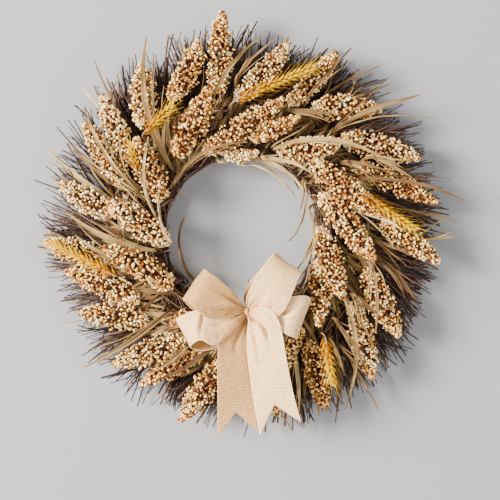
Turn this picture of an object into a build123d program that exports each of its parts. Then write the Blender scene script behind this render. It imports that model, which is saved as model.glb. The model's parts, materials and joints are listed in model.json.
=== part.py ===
"""Harvest door wreath: twigs, seed heads, husk leaves and wheat ears bound to a wire frame, with a burlap bow.

Millimetres. The origin is the ring's centre on its flat back, which rests on the door.
+X is to the right as seen from the front, -Y is towards the viewer and +Z is up.
Places round the ring are given as a clock angle in degrees (0 at the top, clockwise from the front), a radius
from the ring's centre and a depth in front of the door.
"""

import math
import os

from build123d import *

# ---- wire frame -------------------------------------------------------------------------------------------
FRAME_INNER_RADIUS = 102
FRAME_OUTER_RADIUS = 142
FRAME_WIRE = 3.0
FRAME_DEPTH = 10
CROSS_WIRE = 2.4
CROSS_WIRES = 8
WELD_BITE = 0.4
CHANNEL_CLEARANCE = 0.2

# ---- bound core of twigs: a D section, flat on the door ----------------------------------------------------
CORE_RADIUS = 124
CORE_HALF_WIDTH = 36
BINDING_WIRE = 1.2
BINDING_TURNS = 12
BINDING_BACK_DEPTH = 4
BINDING_SLOT = 2.4

# ---- twigs -------------------------------------------------------------------------------------------------
HOURS = 12
TWIGS_PER_LAYER = 10
TWIG_ROOT_RADIUS = 149
TWIG_EXIT_RADIUS = 161
TWIG_TIP_RADIUS = 236
TWIG_TIP_STEPS = (0, -9, -3, -14, 2, -6)
TWIG_ROOT_THICKNESS = 2.6
TWIG_TIP_THICKNESS = 1.0
TWIG_LAYERS = {"back": (8.5, 7.0, 4), "front": (19.0, 22.0, 12)}  # depth at the root, at the tip, lean in degrees

# ---- seed heads: from angle, from radius, to angle, to radius, full width ----------------------------------
HEAD_SIDES = 8
HEAD_CORE = 0.74  # the solid kernel's share of a head's full width; loose grain makes up the rest
HEAD_PROFILE = ((0.0, 0.28), (0.12, 0.72), (0.35, 1.0), (0.6, 0.96), (0.82, 0.66), (1.0, 0.12))
STEM_THICKNESS = 3.0
STEM_SETBACK = 12
UPRIGHT_SETBACK = 3  # for plants that stand in front of the inner heads
ROOT_REACH = 23  # stems enter the core within this distance of its middle radius
ROOT_BITE = 7
OUTER_HEAD_DEPTHS = ((125, 40), (150, 40), (250, 45))
INNER_HEAD_DEPTHS = ((84, 48), (95, 52), (155, 69), (165, 70))
OUTER_HEADS = {
    12: [(351, 161, 355, 248, 28), (358, 150, 14, 220, 24)],
    1: [(21, 155, 28, 228, 23), (30, 162, 49, 208, 26)],
    2: [(48, 156, 68, 218, 28), (61, 147, 82, 223, 23)],
    3: [(87, 160, 99, 225, 24)],
    4: [(108, 148, 124, 214, 28), (124, 152, 139, 224, 24)],
    5: [(149, 150, 155, 222, 25), (149, 132, 166, 180, 16)],
    6: [(190, 152, 198, 226, 26), (172, 160, 169, 212, 20)],
    7: [(208, 140, 224, 210, 28), (198, 148, 213, 208, 22), (212, 112, 217, 134, 14)],
    8: [(236, 142, 257, 204, 26), (227, 150, 243, 206, 28)],
    9: [(277, 148, 285, 214, 25), (258, 152, 267, 222, 26)],
    10: [(303, 148, 314, 220, 24), (292, 142, 304, 216, 26)],
    11: [(317, 164, 329, 220, 28), (332, 170, 347, 220, 26)],
}
INNER_HEADS = {
    12: [(336, 97, 18, 154, 26), (348, 87, 11, 90, 14)],
    1: [(26, 99, 48, 149, 27), (8, 104, 27, 142, 18)],
    2: [(47, 110, 84, 156, 27)],
    3: [(67, 98, 103, 152, 27)],
    4: [(90, 88, 124, 135, 27), (113, 92, 141, 137, 22)],
    8: [(232, 101, 263, 155, 28)],
    9: [(263, 86, 283, 153, 28)],
    10: [(293, 95, 311, 156, 29)],
    11: [(320, 113, 348, 163, 28)],
}

# ---- husk leaves: from angle, from radius, to angle, to radius, width, layer -------------------------------
LEAF_THICKNESS = 1.2
LEAF_STEPS = 6
LEAF_TIP_WIDTH = 0.9
LEAF_PROFILE = ((0.0, 0.45), (0.2, 0.9), (0.45, 1.0), (0.75, 0.7), (1.0, 0.0))
LEAF_DEPTHS = {
    "back": ((140, 27), (260, 27)),
    "middle": ((96, 38), (110, 40), (150, 56), (215, 57), (255, 50)),
    "front": ((80, 63), (100, 67), (125, 76), (150, 81), (190, 78), (240, 62)),
    "hole": ((60, 38), (90, 38)),
}
LEAVES = {
    12: [(342, 133, 7, 220, 6, "middle"), (358, 168, 10, 218, 3, "middle")],
    1: [
        (27, 168, 31, 237, 4, "front"), (32, 183, 40, 245, 3, "back"), (39, 190, 45, 235, 4, "back"),
        (20, 142, 38, 164, 8, "middle"), (342, 82, 57, 84, 7, "hole"), (359, 75, 57, 72, 3, "hole"),
        (16, 84, 50, 100, 5, "front"),
    ],
    2: [
        (43, 158, 53, 252, 6, "middle"), (22, 98, 62, 177, 7, "front"), (60, 166, 73, 199, 6, "middle"),
        (56, 136, 67, 170, 5, "front"), (52, 90, 103, 57, 3, "hole"),
    ],
    3: [
        (65, 135, 83, 251, 5, "middle"), (82, 183, 88, 246, 4, "back"), (93, 200, 91, 252, 4, "back"),
        (78, 125, 90, 175, 7, "middle"), (94, 149, 99, 193, 5, "middle"), (71, 80, 126, 76, 3, "front"),
    ],
    4: [(100, 149, 112, 209, 7, "middle"), (120, 142, 122, 176, 8, "front"), (104, 147, 127, 187, 4, "front")],
    5: [
        (134, 142, 138, 202, 4, "front"), (124, 138, 150, 232, 6, "middle"), (144, 184, 154, 243, 4, "back"),
        (140, 190, 143, 255, 3, "back"), (156, 150, 162, 219, 6, "back"), (152, 155, 157, 226, 6, "back"),
        (141, 161, 145, 198, 5, "middle"),
    ],
    6: [(176, 150, 166, 235, 4, "back")],
    7: [(205, 140, 213, 186, 6, "middle"), (194, 136, 209, 192, 6, "middle"), (192, 146, 203, 181, 4, "back")],
    8: [(222, 123, 229, 233, 8, "middle"), (222, 80, 283, 62, 3, "hole")],
    9: [(257, 100, 276, 199, 8, "middle"), (250, 118, 269, 187, 5, "middle"), (259, 80, 298, 103, 4, "front")],
    10: [
        (291, 126, 308, 226, 6, "middle"), (283, 150, 293, 246, 7, "back"), (290, 160, 297, 220, 4, "back"),
        (310, 205, 313, 251, 3, "back"), (279, 97, 315, 143, 4, "front"),
    ],
    11: [
        (312, 110, 334, 242, 8, "middle"), (312, 170, 319, 257, 4, "back"), (302, 92, 3, 100, 5, "front"),
        (322, 96, 340, 114, 3, "middle"),
    ],
}

# ---- wheat ears: entry angle and radius of the straw, from angle, from radius, to angle, to radius, full width,
# ---- depth at the base and at the tip ----------------------------------------------------------------------
WHEAT_SIDES = 6
WHEAT_CORE = 0.7
WHEAT_STRAW = 2.0
WHEAT_EARS = {
    "wheat_ear_top": (352, 136, 358, 144, 23, 196, 15, 86, 72),
    "wheat_ear_right": (76, 119, 73, 138, 89, 190, 16, 87, 74),
    "wheat_ear_lower_right": (143, 144, 142, 149, 149, 194, 16, 84, 74),
    "wheat_ear_left": (249, 141, 250, 148, 266, 213, 15, 84, 68),
    "wheat_ear_upper_left": (313, 149, 314, 153, 330, 158, 12, 66, 64),
    "wheat_ear_small": (297, 126, 298, 130, 307, 153, 8, 88, 84),
}

# ---- burlap bow --------------------------------------------------------------------------------------------
RIBBON_THICKNESS = 1.6
RIBBON_WIDTH = 46
GATHERED_WIDTH = 10
LOOP_ROOT = 7
LOOP_STEPS = 14
KNOT = Vector(6, -72, -90)
KNOT_RADIUS = 9
KNOT_HALF_DEPTH = 15
LOWER_LOOP_Y = -60
UPPER_LOOP_Y = -80
BOW_LOOPS = {  # direction in degrees from +X towards +Z, length, mid-plane Y, forward bulge, backward bulge
    "bow_loop_upper_left": (153, 72, UPPER_LOOP_Y, 20, 2),
    "bow_loop_upper_right": (51, 71, UPPER_LOOP_Y, 20, 2),
    "bow_loop_lower_left": (200, 74, LOWER_LOOP_Y, 9, 2),
    "bow_loop_lower_right": (-8, 67, LOWER_LOOP_Y, 9, 2),
}
TAIL_Y = -75
TAIL_GAP = 0.8
TAIL_TOP = -104
TAIL_PARTING = ((TAIL_TOP, 6.5), (-226, 20))  # height and x where the two tails meet
LEFT_TAIL_EDGE = ((-228, -26), (-124, -26), (TAIL_TOP, 0))
LEFT_TAIL_NOTCH = (-206, -5)
RIGHT_TAIL_EDGE = ((-212, 64), (-160, 53), (-124, 45), (TAIL_TOP, 14))
RIGHT_TAIL_NOTCH = (-193, 36)
TIE_WIRE = 1.2

# ---- hanging loop ------------------------------------------------------------------------------------------
HANGER_WIRE = 1.8
HANGER_HALF_WIDTH = 14
HANGER_EYE_BORE = 3.7
HANGER_TOP = 186
HANGER_BACK_DEPTH = 1.6
HANGER_POCKET_WIDTH = 40
HANGER_POCKETS = ((130, 148, 15), (148, 162, 5.2))  # from height, to height, depth: round the eyes, then the legs


# ---- helpers -----------------------------------------------------------------------------------------------
def place(angle, radius, depth):
    """Point at a clock angle, a radius from the ring's centre and a depth in front of the door."""
    turn = math.radians(angle)
    return Vector(radius * math.sin(turn), -depth, radius * math.cos(turn))


def along(table, value):
    """Straight-line reading of a table of (position, value) pairs, held level beyond both ends."""
    if value <= table[0][0]:
        return table[0][1]
    for (low, start), (high, end) in zip(table, table[1:]):
        if value <= high:
            return start + (end - start) * (value - low) / (high - low)
    return table[-1][1]


def sweep_angle(start, end):
    """Signed turn from one clock angle to another, the short way round."""
    return (end - start + 180) % 360 - 180


def core_surface(radius):
    """Depth of the bound core's front surface at a radius."""
    across = min(1, abs(radius - CORE_RADIUS) / CORE_HALF_WIDTH)
    return CORE_HALF_WIDTH * math.sqrt(1 - across**2)


def facet(*corners):
    return Face(Wire.make_polygon(corners, close=True))


def skin(rings, closed=False):
    """Flat-faced solid through rings of corners; a closed one runs round to its first ring again."""
    pairs = list(zip(rings, rings[1:]))
    if closed:
        pairs.append((rings[-1], rings[0]))
    faces = []
    for near, far in pairs:
        for i in range(len(near)):
            j = (i + 1) % len(near)
            faces.append(facet(near[i], near[j], far[j]))
            faces.append(facet(near[i], far[j], far[i]))
    if not closed:
        faces.append(facet(*reversed(rings[0])))
        faces.append(facet(*rings[-1]))
    solid = Solid(Shell(faces))
    return solid if solid.volume > 0 else Solid(Shell([-face for face in faces]))


def directions(points, closed=False):
    """Unit tangent at each point of a polyline."""
    count = len(points)
    tangents = []
    for i in range(count):
        before = points[i - 1] if closed or i > 0 else points[i]
        after = points[(i + 1) % count] if closed or i < count - 1 else points[i]
        tangents.append((after - before).normalized())
    return tangents


def rod(points, widths, sides, closed=False):
    """Many-sided rod along points, with a full width at each of them."""
    rings = []
    for point, tangent, width in zip(points, directions(points, closed), widths):
        side = tangent.cross(Vector(0, 1, 0))
        if side.length < 0.1:
            side = tangent.cross(Vector(1, 0, 0))
        side = side.normalized()
        lift = side.cross(tangent)
        ring = []
        for k in range(sides):
            turn = 2 * math.pi * k / sides
            ring.append(point + (side * math.cos(turn) + lift * math.sin(turn)) * (width / 2))
        rings.append(ring)
    return skin(rings, closed)


def strip(points, widths, thickness):
    """Flat strip along points, its face towards the viewer."""
    rings = []
    for point, tangent, width in zip(points, directions(points), widths):
        side = tangent.cross(Vector(0, 1, 0)).normalized() * (width / 2)
        lift = side.cross(tangent).normalized() * (thickness / 2)
        rings.append([point - side - lift, point + side - lift, point + side + lift, point - side + lift])
    return skin(rings)


def wire_loop(points, thickness):
    """Closed turn of thin wire through corner points that all lie in one radial plane."""
    across = (points[1] - points[0]).cross(points[2] - points[1]).normalized()
    rings = []
    for i, point in enumerate(points):
        arriving = (point - points[i - 1]).normalized()
        leaving = (points[(i + 1) % len(points)] - point).normalized()
        outward = (arriving - leaving).normalized()
        reach = thickness / 2 / math.cos(math.acos(max(-1, min(1, arriving.dot(leaving)))) / 2)
        ring = []
        for k in range(6):
            turn = 2 * math.pi * k / 6
            ring.append(point + outward * (reach * math.cos(turn)) + across * (thickness / 2 * math.sin(turn)))
        rings.append(ring)
    return skin(rings, closed=True)


# ---- wire frame, core and binding --------------------------------------------------------------------------
def ring_wire(radius, thickness=FRAME_WIRE):
    return Pos(0, -FRAME_DEPTH, 0) * Rot(90, 0, 0) * Torus(radius, thickness / 2)


def cross_wire(angle, thickness=CROSS_WIRE):
    """Short wire across the front of both rings, pressed into them at its welds."""
    depth = FRAME_DEPTH + (FRAME_WIRE + CROSS_WIRE) / 2 - WELD_BITE
    middle = place(angle, (FRAME_INNER_RADIUS + FRAME_OUTER_RADIUS) / 2, depth)
    length = FRAME_OUTER_RADIUS - FRAME_INNER_RADIUS + FRAME_WIRE
    return Pos(middle) * Rot(0, angle, 0) * Cylinder(thickness / 2, length)


def cross_wire_angles():
    return [360 / CROSS_WIRES * (k + 0.5) for k in range(CROSS_WIRES)]


def binding_angles():
    return [360 / BINDING_TURNS * (k + 0.5) for k in range(BINDING_TURNS)]


def binding_turn(angle):
    """One turn of wire: over the core's round front and through the twigs just inside its back."""
    steps = 12
    radius = (CORE_HALF_WIDTH + BINDING_WIRE / 2 + 0.3) / math.cos(math.pi / steps / 2)
    start = math.asin(BINDING_BACK_DEPTH / radius)
    points = []
    for k in range(steps + 1):
        turn = start + (math.pi - 2 * start) * k / steps
        points.append(place(angle, CORE_RADIUS - radius * math.cos(turn), radius * math.sin(turn)))
    return wire_loop(points, BINDING_WIRE)


def binding_slot(angle):
    middle = place(angle, CORE_RADIUS, BINDING_BACK_DEPTH)
    return Pos(middle) * Rot(0, angle, 0) * Box(BINDING_SLOT, BINDING_SLOT, 2 * CORE_HALF_WIDTH + 8)


def tie_wire_corners():
    """Corners of the wire that ties the bow's centre to the inner frame ring."""
    behind_ring = -(FRAME_DEPTH - FRAME_WIRE / 2 - TIE_WIRE / 2 - 0.4)
    ring_height = -math.sqrt(FRAME_INNER_RADIUS**2 - KNOT.X**2)
    return [
        Vector(KNOT.X, behind_ring, ring_height + 4),
        Vector(KNOT.X, behind_ring, ring_height - 4),
        Vector(KNOT.X, KNOT.Y, KNOT.Z - 4),
        Vector(KNOT.X, KNOT.Y, KNOT.Z + 4),
    ]


def tie_wire_slot():
    corners = tie_wire_corners()
    low = corners[1].Z - 3
    high = corners[0].Z + 8
    front = -CORE_HALF_WIDTH - 1
    back = corners[0].Y + TIE_WIRE
    return Pos(KNOT.X, (front + back) / 2, (low + high) / 2) * Box(BINDING_SLOT, back - front, high - low)


def hanger_pockets():
    """Stepped opening in the back of the core round the hanging loop's eyes and legs."""
    steps = []
    for low, high, depth in HANGER_POCKETS:
        step = Pos(0, -depth / 2, (low + high) / 2) * Box(HANGER_POCKET_WIDTH, depth, high - low)
        steps.append(step)
    return steps


def core_ring():
    """Bound twigs as one D-section ring with channels for every wire that runs through it."""
    flat = Line((CORE_RADIUS - CORE_HALF_WIDTH, 0), (CORE_RADIUS + CORE_HALF_WIDTH, 0))
    front = CenterArc((CORE_RADIUS, 0), CORE_HALF_WIDTH, 180, 180)
    core = revolve(make_face(flat + front), axis=Axis.Y)
    core -= ring_wire(FRAME_INNER_RADIUS, FRAME_WIRE + 2 * CHANNEL_CLEARANCE)
    core -= ring_wire(FRAME_OUTER_RADIUS, FRAME_WIRE + 2 * CHANNEL_CLEARANCE)
    core -= [cross_wire(angle, CROSS_WIRE + 2 * CHANNEL_CLEARANCE) for angle in cross_wire_angles()]
    core -= [binding_slot(angle) for angle in binding_angles()]
    core -= [tie_wire_slot()] + hanger_pockets()
    return core


# ---- plants ------------------------------------------------------------------------------------------------
def twig_bundle(hour):
    """Two raked layers of tapered twigs that fan out of the core over one hour of the clock."""
    twigs = []
    pitch = 360 / HOURS / TWIGS_PER_LAYER
    for root_depth, tip_depth, lean in TWIG_LAYERS.values():
        for k in range(TWIGS_PER_LAYER):
            exit_angle = 30 * hour - 15 + pitch * (k + 0.5)
            rate = lean / (TWIG_TIP_RADIUS - TWIG_ROOT_RADIUS)
            tip_radius = TWIG_TIP_RADIUS + TWIG_TIP_STEPS[(k + hour) % len(TWIG_TIP_STEPS)]
            root = place(exit_angle - rate * (TWIG_EXIT_RADIUS - TWIG_ROOT_RADIUS), TWIG_ROOT_RADIUS, root_depth)
            tip = place(exit_angle + rate * (tip_radius - TWIG_EXIT_RADIUS), tip_radius, tip_depth)
            twigs.append(rod([root, tip], [TWIG_ROOT_THICKNESS, TWIG_TIP_THICKNESS], 4))
    return twigs


def stem_root(angle, radius, setback):
    """Where a stem ends inside the core, set back towards the ring's centre from where its plant starts."""
    root_radius = max(CORE_RADIUS - ROOT_REACH, min(CORE_RADIUS + ROOT_REACH, radius - setback))
    return place(angle, root_radius, core_surface(root_radius) - ROOT_BITE)


def seed_head(row, depths):
    """Spindle-shaped kernel of a seed head, with its stem running down into the core."""
    from_angle, from_radius, to_angle, to_radius, width = row
    base = place(from_angle, from_radius, along(depths, from_radius))
    tip = place(to_angle, to_radius, along(depths, to_radius))
    points = [stem_root(from_angle, from_radius, STEM_SETBACK)]
    widths = [STEM_THICKNESS]
    for share, fullness in HEAD_PROFILE:
        points.append(base + (tip - base) * share)
        widths.append(width * HEAD_CORE * fullness)
    return rod(points, widths, HEAD_SIDES)


def husk_leaf(row):
    """Long tapering leaf that swings round the ring as it runs outward."""
    from_angle, from_radius, to_angle, to_radius, width, layer = row
    turn = sweep_angle(from_angle, to_angle)
    setback = UPRIGHT_SETBACK if layer == "front" else STEM_SETBACK
    points = [stem_root(from_angle, from_radius, setback)]
    widths = [width * LEAF_PROFILE[0][1]]
    for k in range(LEAF_STEPS + 1):
        share = k / LEAF_STEPS
        radius = from_radius + (to_radius - from_radius) * share
        points.append(place(from_angle + turn * share, radius, along(LEAF_DEPTHS[layer], radius)))
        widths.append(max(LEAF_TIP_WIDTH, width * along(LEAF_PROFILE, share)))
    return strip(points, widths, LEAF_THICKNESS)


def wheat_ear(row):
    """Wheat ear laid over the heads, its straw bent down beside it into the core."""
    entry_angle, entry_radius, from_angle, from_radius, to_angle, to_radius, width, base_depth, tip_depth = row
    base = place(from_angle, from_radius, base_depth)
    tip = place(to_angle, to_radius, tip_depth)
    points = [stem_root(entry_angle, entry_radius, 0), place(entry_angle, entry_radius, base_depth - 2)]
    widths = [WHEAT_STRAW, WHEAT_STRAW]
    for share, fullness in HEAD_PROFILE:
        points.append(base + (tip - base) * share)
        widths.append(width * WHEAT_CORE * fullness)
    return rod(points, widths, WHEAT_SIDES)


# ---- bow ---------------------------------------------------------------------------------------------------
def bow_loop(direction, length, middle_y, forward, backward):
    """Loop of ribbon out from the pinch and back: a teardrop seen edge on, widest at its fold."""
    heading = math.radians(direction)
    out = Vector(math.cos(heading), 0, math.sin(heading))
    across = Vector(-math.sin(heading), 0, math.cos(heading)) * 0.5
    centre = Vector(KNOT.X, middle_y, KNOT.Z)
    points = []
    for k in range(LOOP_STEPS + 1):
        share = k / LOOP_STEPS
        reach = LOOP_ROOT + (length - LOOP_ROOT) * math.sin(math.pi * share) ** 0.8
        bulge = forward if share < 0.5 else backward
        lift = 2 * RIBBON_THICKNESS * math.cos(math.pi * share) + bulge * math.sin(2 * math.pi * share)
        points.append(centre + out * reach - Vector(0, 1, 0) * lift)
    rings = []
    for k, (point, tangent) in enumerate(zip(points, directions(points))):
        spread = math.sin(math.pi * k / LOOP_STEPS) ** 0.6
        half = across * (GATHERED_WIDTH + (RIBBON_WIDTH - GATHERED_WIDTH) * spread)
        lift = half.cross(tangent).normalized() * (RIBBON_THICKNESS / 2)
        rings.append([point - half - lift, point + half - lift, point + half + lift, point - half + lift])
    return skin(rings)


def bow_centre_wrap():
    """Narrow gathered wrap that pinches the loops together."""
    front = KNOT - Vector(0, KNOT_HALF_DEPTH, 0)
    points = []
    widths = []
    for share, fullness in ((0.0, 0.55), (0.2, 1.0), (0.8, 1.0), (1.0, 0.55)):
        points.append(front + Vector(0, 2 * KNOT_HALF_DEPTH * share, 0))
        widths.append(2 * KNOT_RADIUS * fullness)
    return rod(points, widths, 8)


def ribbon_tail(outline):
    """Flat hanging tail cut to a swallow tail; outline is (height, x) pairs."""
    corners = [Vector(x, TAIL_Y, z) for z, x in outline]
    sheet = facet(*corners)
    return extrude(sheet, RIBBON_THICKNESS / 2, dir=(0, 1, 0), both=True)


def left_tail():
    inner = [(z, x - TAIL_GAP) for z, x in TAIL_PARTING]
    return ribbon_tail(inner + [LEFT_TAIL_NOTCH] + list(LEFT_TAIL_EDGE))


def right_tail():
    inner = [(z, x + TAIL_GAP) for z, x in TAIL_PARTING]
    return ribbon_tail(inner + [RIGHT_TAIL_NOTCH] + list(RIGHT_TAIL_EDGE))


# ---- hanging loop ------------------------------------------------------------------------------------------
def hanging_loop():
    """Wire bail whose two eyes run round the outer frame ring, free to swing back off the door."""
    height = math.sqrt(FRAME_OUTER_RADIUS**2 - HANGER_HALF_WIDTH**2)
    eye_radius = (HANGER_EYE_BORE + HANGER_WIRE) / 2
    knee = height + 12
    bail = []
    for side in (-1, 1):
        x = side * HANGER_HALF_WIDTH
        eye = Pos(x, -FRAME_DEPTH, height) * Rot(0, 90, 0) * Torus(eye_radius, HANGER_WIRE / 2)
        bail.append(eye)
    left = [
        (-HANGER_HALF_WIDTH, -FRAME_DEPTH + eye_radius, height),
        (-HANGER_HALF_WIDTH, -HANGER_BACK_DEPTH, knee),
        (-HANGER_HALF_WIDTH, -HANGER_BACK_DEPTH, HANGER_TOP),
    ]
    right = [(-x, y, z) for x, y, z in reversed(left)]
    path = FilletPolyline(*left, *right, radius=5)
    start = Plane(origin=left[0], z_dir=path % 0)
    bail.append(sweep(start * Circle(HANGER_WIRE / 2), path=path))
    return bail[0] + bail[1] + bail[2]


# ---- assembly ----------------------------------------------------------------------------------------------
def nodes():
    """Every separate piece of the wreath, by name."""
    pieces = {
        "frame_inner_ring": [ring_wire(FRAME_INNER_RADIUS)],
        "frame_outer_ring": [ring_wire(FRAME_OUTER_RADIUS)],
        "frame_cross_wires": [cross_wire(angle) for angle in cross_wire_angles()],
        "twig_core_ring": [core_ring()],
        "binding_wire_turns": [binding_turn(angle) for angle in binding_angles()],
        "hanging_loop": [hanging_loop()],
        "bow_centre_wrap": [bow_centre_wrap()],
        "bow_tie_wire": [wire_loop(tie_wire_corners(), TIE_WIRE)],
        "bow_tail_left": [left_tail()],
        "bow_tail_right": [right_tail()],
    }
    for name, shape in BOW_LOOPS.items():
        pieces[name] = [bow_loop(*shape)]
    for name, row in WHEAT_EARS.items():
        pieces[name] = [wheat_ear(row)]
    for hour in range(1, HOURS + 1):
        heads = [seed_head(row, OUTER_HEAD_DEPTHS) for row in OUTER_HEADS.get(hour, [])]
        heads += [seed_head(row, INNER_HEAD_DEPTHS) for row in INNER_HEADS.get(hour, [])]
        pieces[f"twigs_{hour:02d}_oclock"] = twig_bundle(hour)
        pieces[f"seed_heads_{hour:02d}_oclock"] = heads
        pieces[f"husk_leaves_{hour:02d}_oclock"] = [husk_leaf(row) for row in LEAVES[hour]]
    return pieces


os.makedirs("parts", exist_ok=True)
for node, solids in nodes().items():
    whole = solids[0] if len(solids) == 1 else Compound(children=solids)
    export_step(whole, f"parts/{node}.step")
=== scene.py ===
"""Looks of the harvest door wreath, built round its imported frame.

In the frame's axes: +X right, -Y towards the viewer, +Z up. Shapes are worked out in millimetres, and
Bag.build scales them to metres.
"""

import json
import math

import bmesh
import bpy
import numpy as np
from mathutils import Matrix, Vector


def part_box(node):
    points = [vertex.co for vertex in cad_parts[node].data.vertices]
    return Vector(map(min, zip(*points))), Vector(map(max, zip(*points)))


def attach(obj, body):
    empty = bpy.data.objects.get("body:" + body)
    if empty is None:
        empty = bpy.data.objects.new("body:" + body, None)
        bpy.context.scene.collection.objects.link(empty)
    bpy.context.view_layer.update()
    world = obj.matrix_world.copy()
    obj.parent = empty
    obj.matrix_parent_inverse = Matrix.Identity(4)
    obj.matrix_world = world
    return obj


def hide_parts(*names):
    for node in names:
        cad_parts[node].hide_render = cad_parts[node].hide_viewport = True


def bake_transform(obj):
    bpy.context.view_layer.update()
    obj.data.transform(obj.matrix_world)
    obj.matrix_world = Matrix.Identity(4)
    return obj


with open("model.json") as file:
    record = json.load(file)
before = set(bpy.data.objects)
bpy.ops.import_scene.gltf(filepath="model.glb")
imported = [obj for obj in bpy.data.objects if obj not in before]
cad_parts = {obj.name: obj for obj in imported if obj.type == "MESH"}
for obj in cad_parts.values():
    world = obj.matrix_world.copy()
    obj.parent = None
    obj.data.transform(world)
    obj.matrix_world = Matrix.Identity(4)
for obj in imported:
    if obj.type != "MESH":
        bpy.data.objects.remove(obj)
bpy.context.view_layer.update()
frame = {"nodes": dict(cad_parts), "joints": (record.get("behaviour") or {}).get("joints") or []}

MM = 0.001
HOURS = range(1, 13)
FRONT = np.array([0.0, -1.0, 0.0])
LEAST_DEPTH = 1.2  # millimetres kept between any stem and the door
ROOT_REACH = 5.0  # a rod's first ring of corners lies this near its root


# ---- reading the frame --------------------
def welded(node):
    """Corner points of a CAD node in millimetres, and each point's neighbours."""
    mesh = frame["nodes"][node].data
    raw = np.array([v.co for v in mesh.vertices]) / MM
    _, first, index = np.unique(np.round(raw, 2), axis=0, return_index=True, return_inverse=True)
    index = index.reshape(-1)
    near = [set() for _ in first]
    for edge in mesh.edges:
        a, b = (int(index[v]) for v in edge.vertices)
        if a != b:
            near[a].add(b)
            near[b].add(a)
    return raw[first], near


def separate(near):
    """Groups of joined points, one group for each solid."""
    left = set(range(len(near)))
    groups = []
    while left:
        group = {left.pop()}
        edge = set(group)
        while edge:
            edge = {n for point in edge for n in near[point]} - group
            group |= edge
        left -= group
        groups.append(sorted(group))
    return groups


def ring_radius(points):
    return np.hypot(points[..., 0], points[..., 2])


def on_ring(radius, turn, depth):
    """Points at a radius, at a clockwise angle from the top and at a depth in front of the door."""
    return np.stack([radius * np.sin(turn), -depth, radius * np.cos(turn)], -1)


def rod_rings(node, by_radius=False):
    """Every solid of a node as rings of corners, walked from its root outward."""
    points, near = welded(node)
    rods = []
    for group in separate(near):
        cloud = points[group]
        key = ring_radius(cloud) if by_radius else -cloud[:, 1]
        start = cloud[np.argmin(key)]
        ring = {g for g in group if np.linalg.norm(points[g] - start) < ROOT_REACH}
        seen = set()
        rings = []
        while ring:
            rings.append(points[sorted(ring)])
            seen |= ring
            ring = {n for point in ring for n in near[point]} - seen
        rods.append(rings)
    rods.sort(key=lambda rings: tuple(np.round(rings[0].mean(0), 1)))
    return rods


def spine(rings):
    """Centres of a solid's rings and half its width at each."""
    centres = np.array([ring.mean(0) for ring in rings])
    halves = np.array([np.linalg.norm(ring - ring.mean(0), axis=1).max() for ring in rings])
    return centres, halves


# ---- mesh making --------------------
class Bag:
    """Gathers triangles, each point with a tint and a place along its piece, and makes one object of them; on
    the bow's cloth the tint is painted light and shade, and the place along is painted shade.
    """

    def __init__(self):
        self.points, self.faces, self.tints, self.alongs, self.slots, self.uvs = [], [], [], [], [], []
        self.count = 0

    def add(self, points, faces, tint=0.5, along=0.5, slot=0, uv=None):
        points = np.asarray(points, float).reshape(-1, 3)
        faces = np.asarray(faces, int).reshape(-1, 3)
        self.points.append(points)
        self.faces.append(faces + self.count)
        self.tints.append(np.broadcast_to(tint, len(points)))
        self.alongs.append(np.broadcast_to(along, len(points)))
        self.slots.append(np.full(len(faces), slot))
        self.uvs.append(np.zeros((len(points), 2)) if uv is None else np.asarray(uv, float).reshape(-1, 2))
        self.count += len(points)

    def build(self, name, materials, node, body="root"):
        """Makes the object that stands for a CAD node; a piece without a body is left without a parent, and
        its maker bakes its placement.
        """
        points = np.concatenate(self.points) * MM
        faces = np.concatenate(self.faces)
        mesh = bpy.data.meshes.new(name)
        mesh.vertices.add(len(points))
        mesh.vertices.foreach_set("co", points.astype(np.float32).ravel())
        mesh.loops.add(faces.size)
        mesh.loops.foreach_set("vertex_index", faces.astype(np.int32).ravel())
        mesh.polygons.add(len(faces))
        mesh.polygons.foreach_set("loop_start", np.arange(0, faces.size, 3, dtype=np.int32))
        for material in materials:
            mesh.materials.append(MATERIALS[material])
        mesh.polygons.foreach_set("material_index", np.concatenate(self.slots).astype(np.int32))
        mesh.polygons.foreach_set("use_smooth", np.full(len(faces), True))
        mesh.update(calc_edges=True)
        for title, values in (("tint", self.tints), ("along", self.alongs)):
            attribute = mesh.attributes.new(title, "FLOAT", "POINT")
            attribute.data.foreach_set("value", np.concatenate(values).astype(np.float32))
        layer = mesh.uv_layers.new(name="weave")
        layer.data.foreach_set("uv", np.concatenate(self.uvs)[faces.ravel()].astype(np.float32).ravel())
        piece = in_scene(name, mesh)
        if body:
            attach(piece, body)
        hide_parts(node)
        return piece


def unit(vectors):
    return vectors / np.maximum(np.linalg.norm(vectors, axis=-1, keepdims=True), 1e-9)


def frames_for(directions):
    """Two unit vectors across each direction."""
    guide = np.where(np.abs(directions[..., 1:2]) > 0.9, [1.0, 0.0, 0.0], [0.0, 1.0, 0.0])
    side = unit(np.cross(directions, guide))
    return side, np.cross(side, directions)


def frames_facing(directions):
    """Two vectors across each direction, the second one towards the viewer."""
    side = unit(np.cross(directions, FRONT))
    lift = np.cross(side, directions)
    return side, lift * np.sign(lift @ FRONT)[..., None]


def length_along(line):
    """Distance walked from the start of a line to each of its points."""
    return np.concatenate([[0], np.cumsum(np.linalg.norm(np.diff(line, axis=0), axis=1))])


def random_tint(rng, middle, spread, low=0.0):
    """Tint near a middle value, never past the ends of its colour ramp."""
    return float(np.clip(middle + rng.normal(0, spread), low, 1))


def in_scene(name, data):
    """New object for a mesh, a lamp or a camera, linked into the scene."""
    thing = bpy.data.objects.new(name, data)
    bpy.context.scene.collection.objects.link(thing)
    return thing


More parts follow.
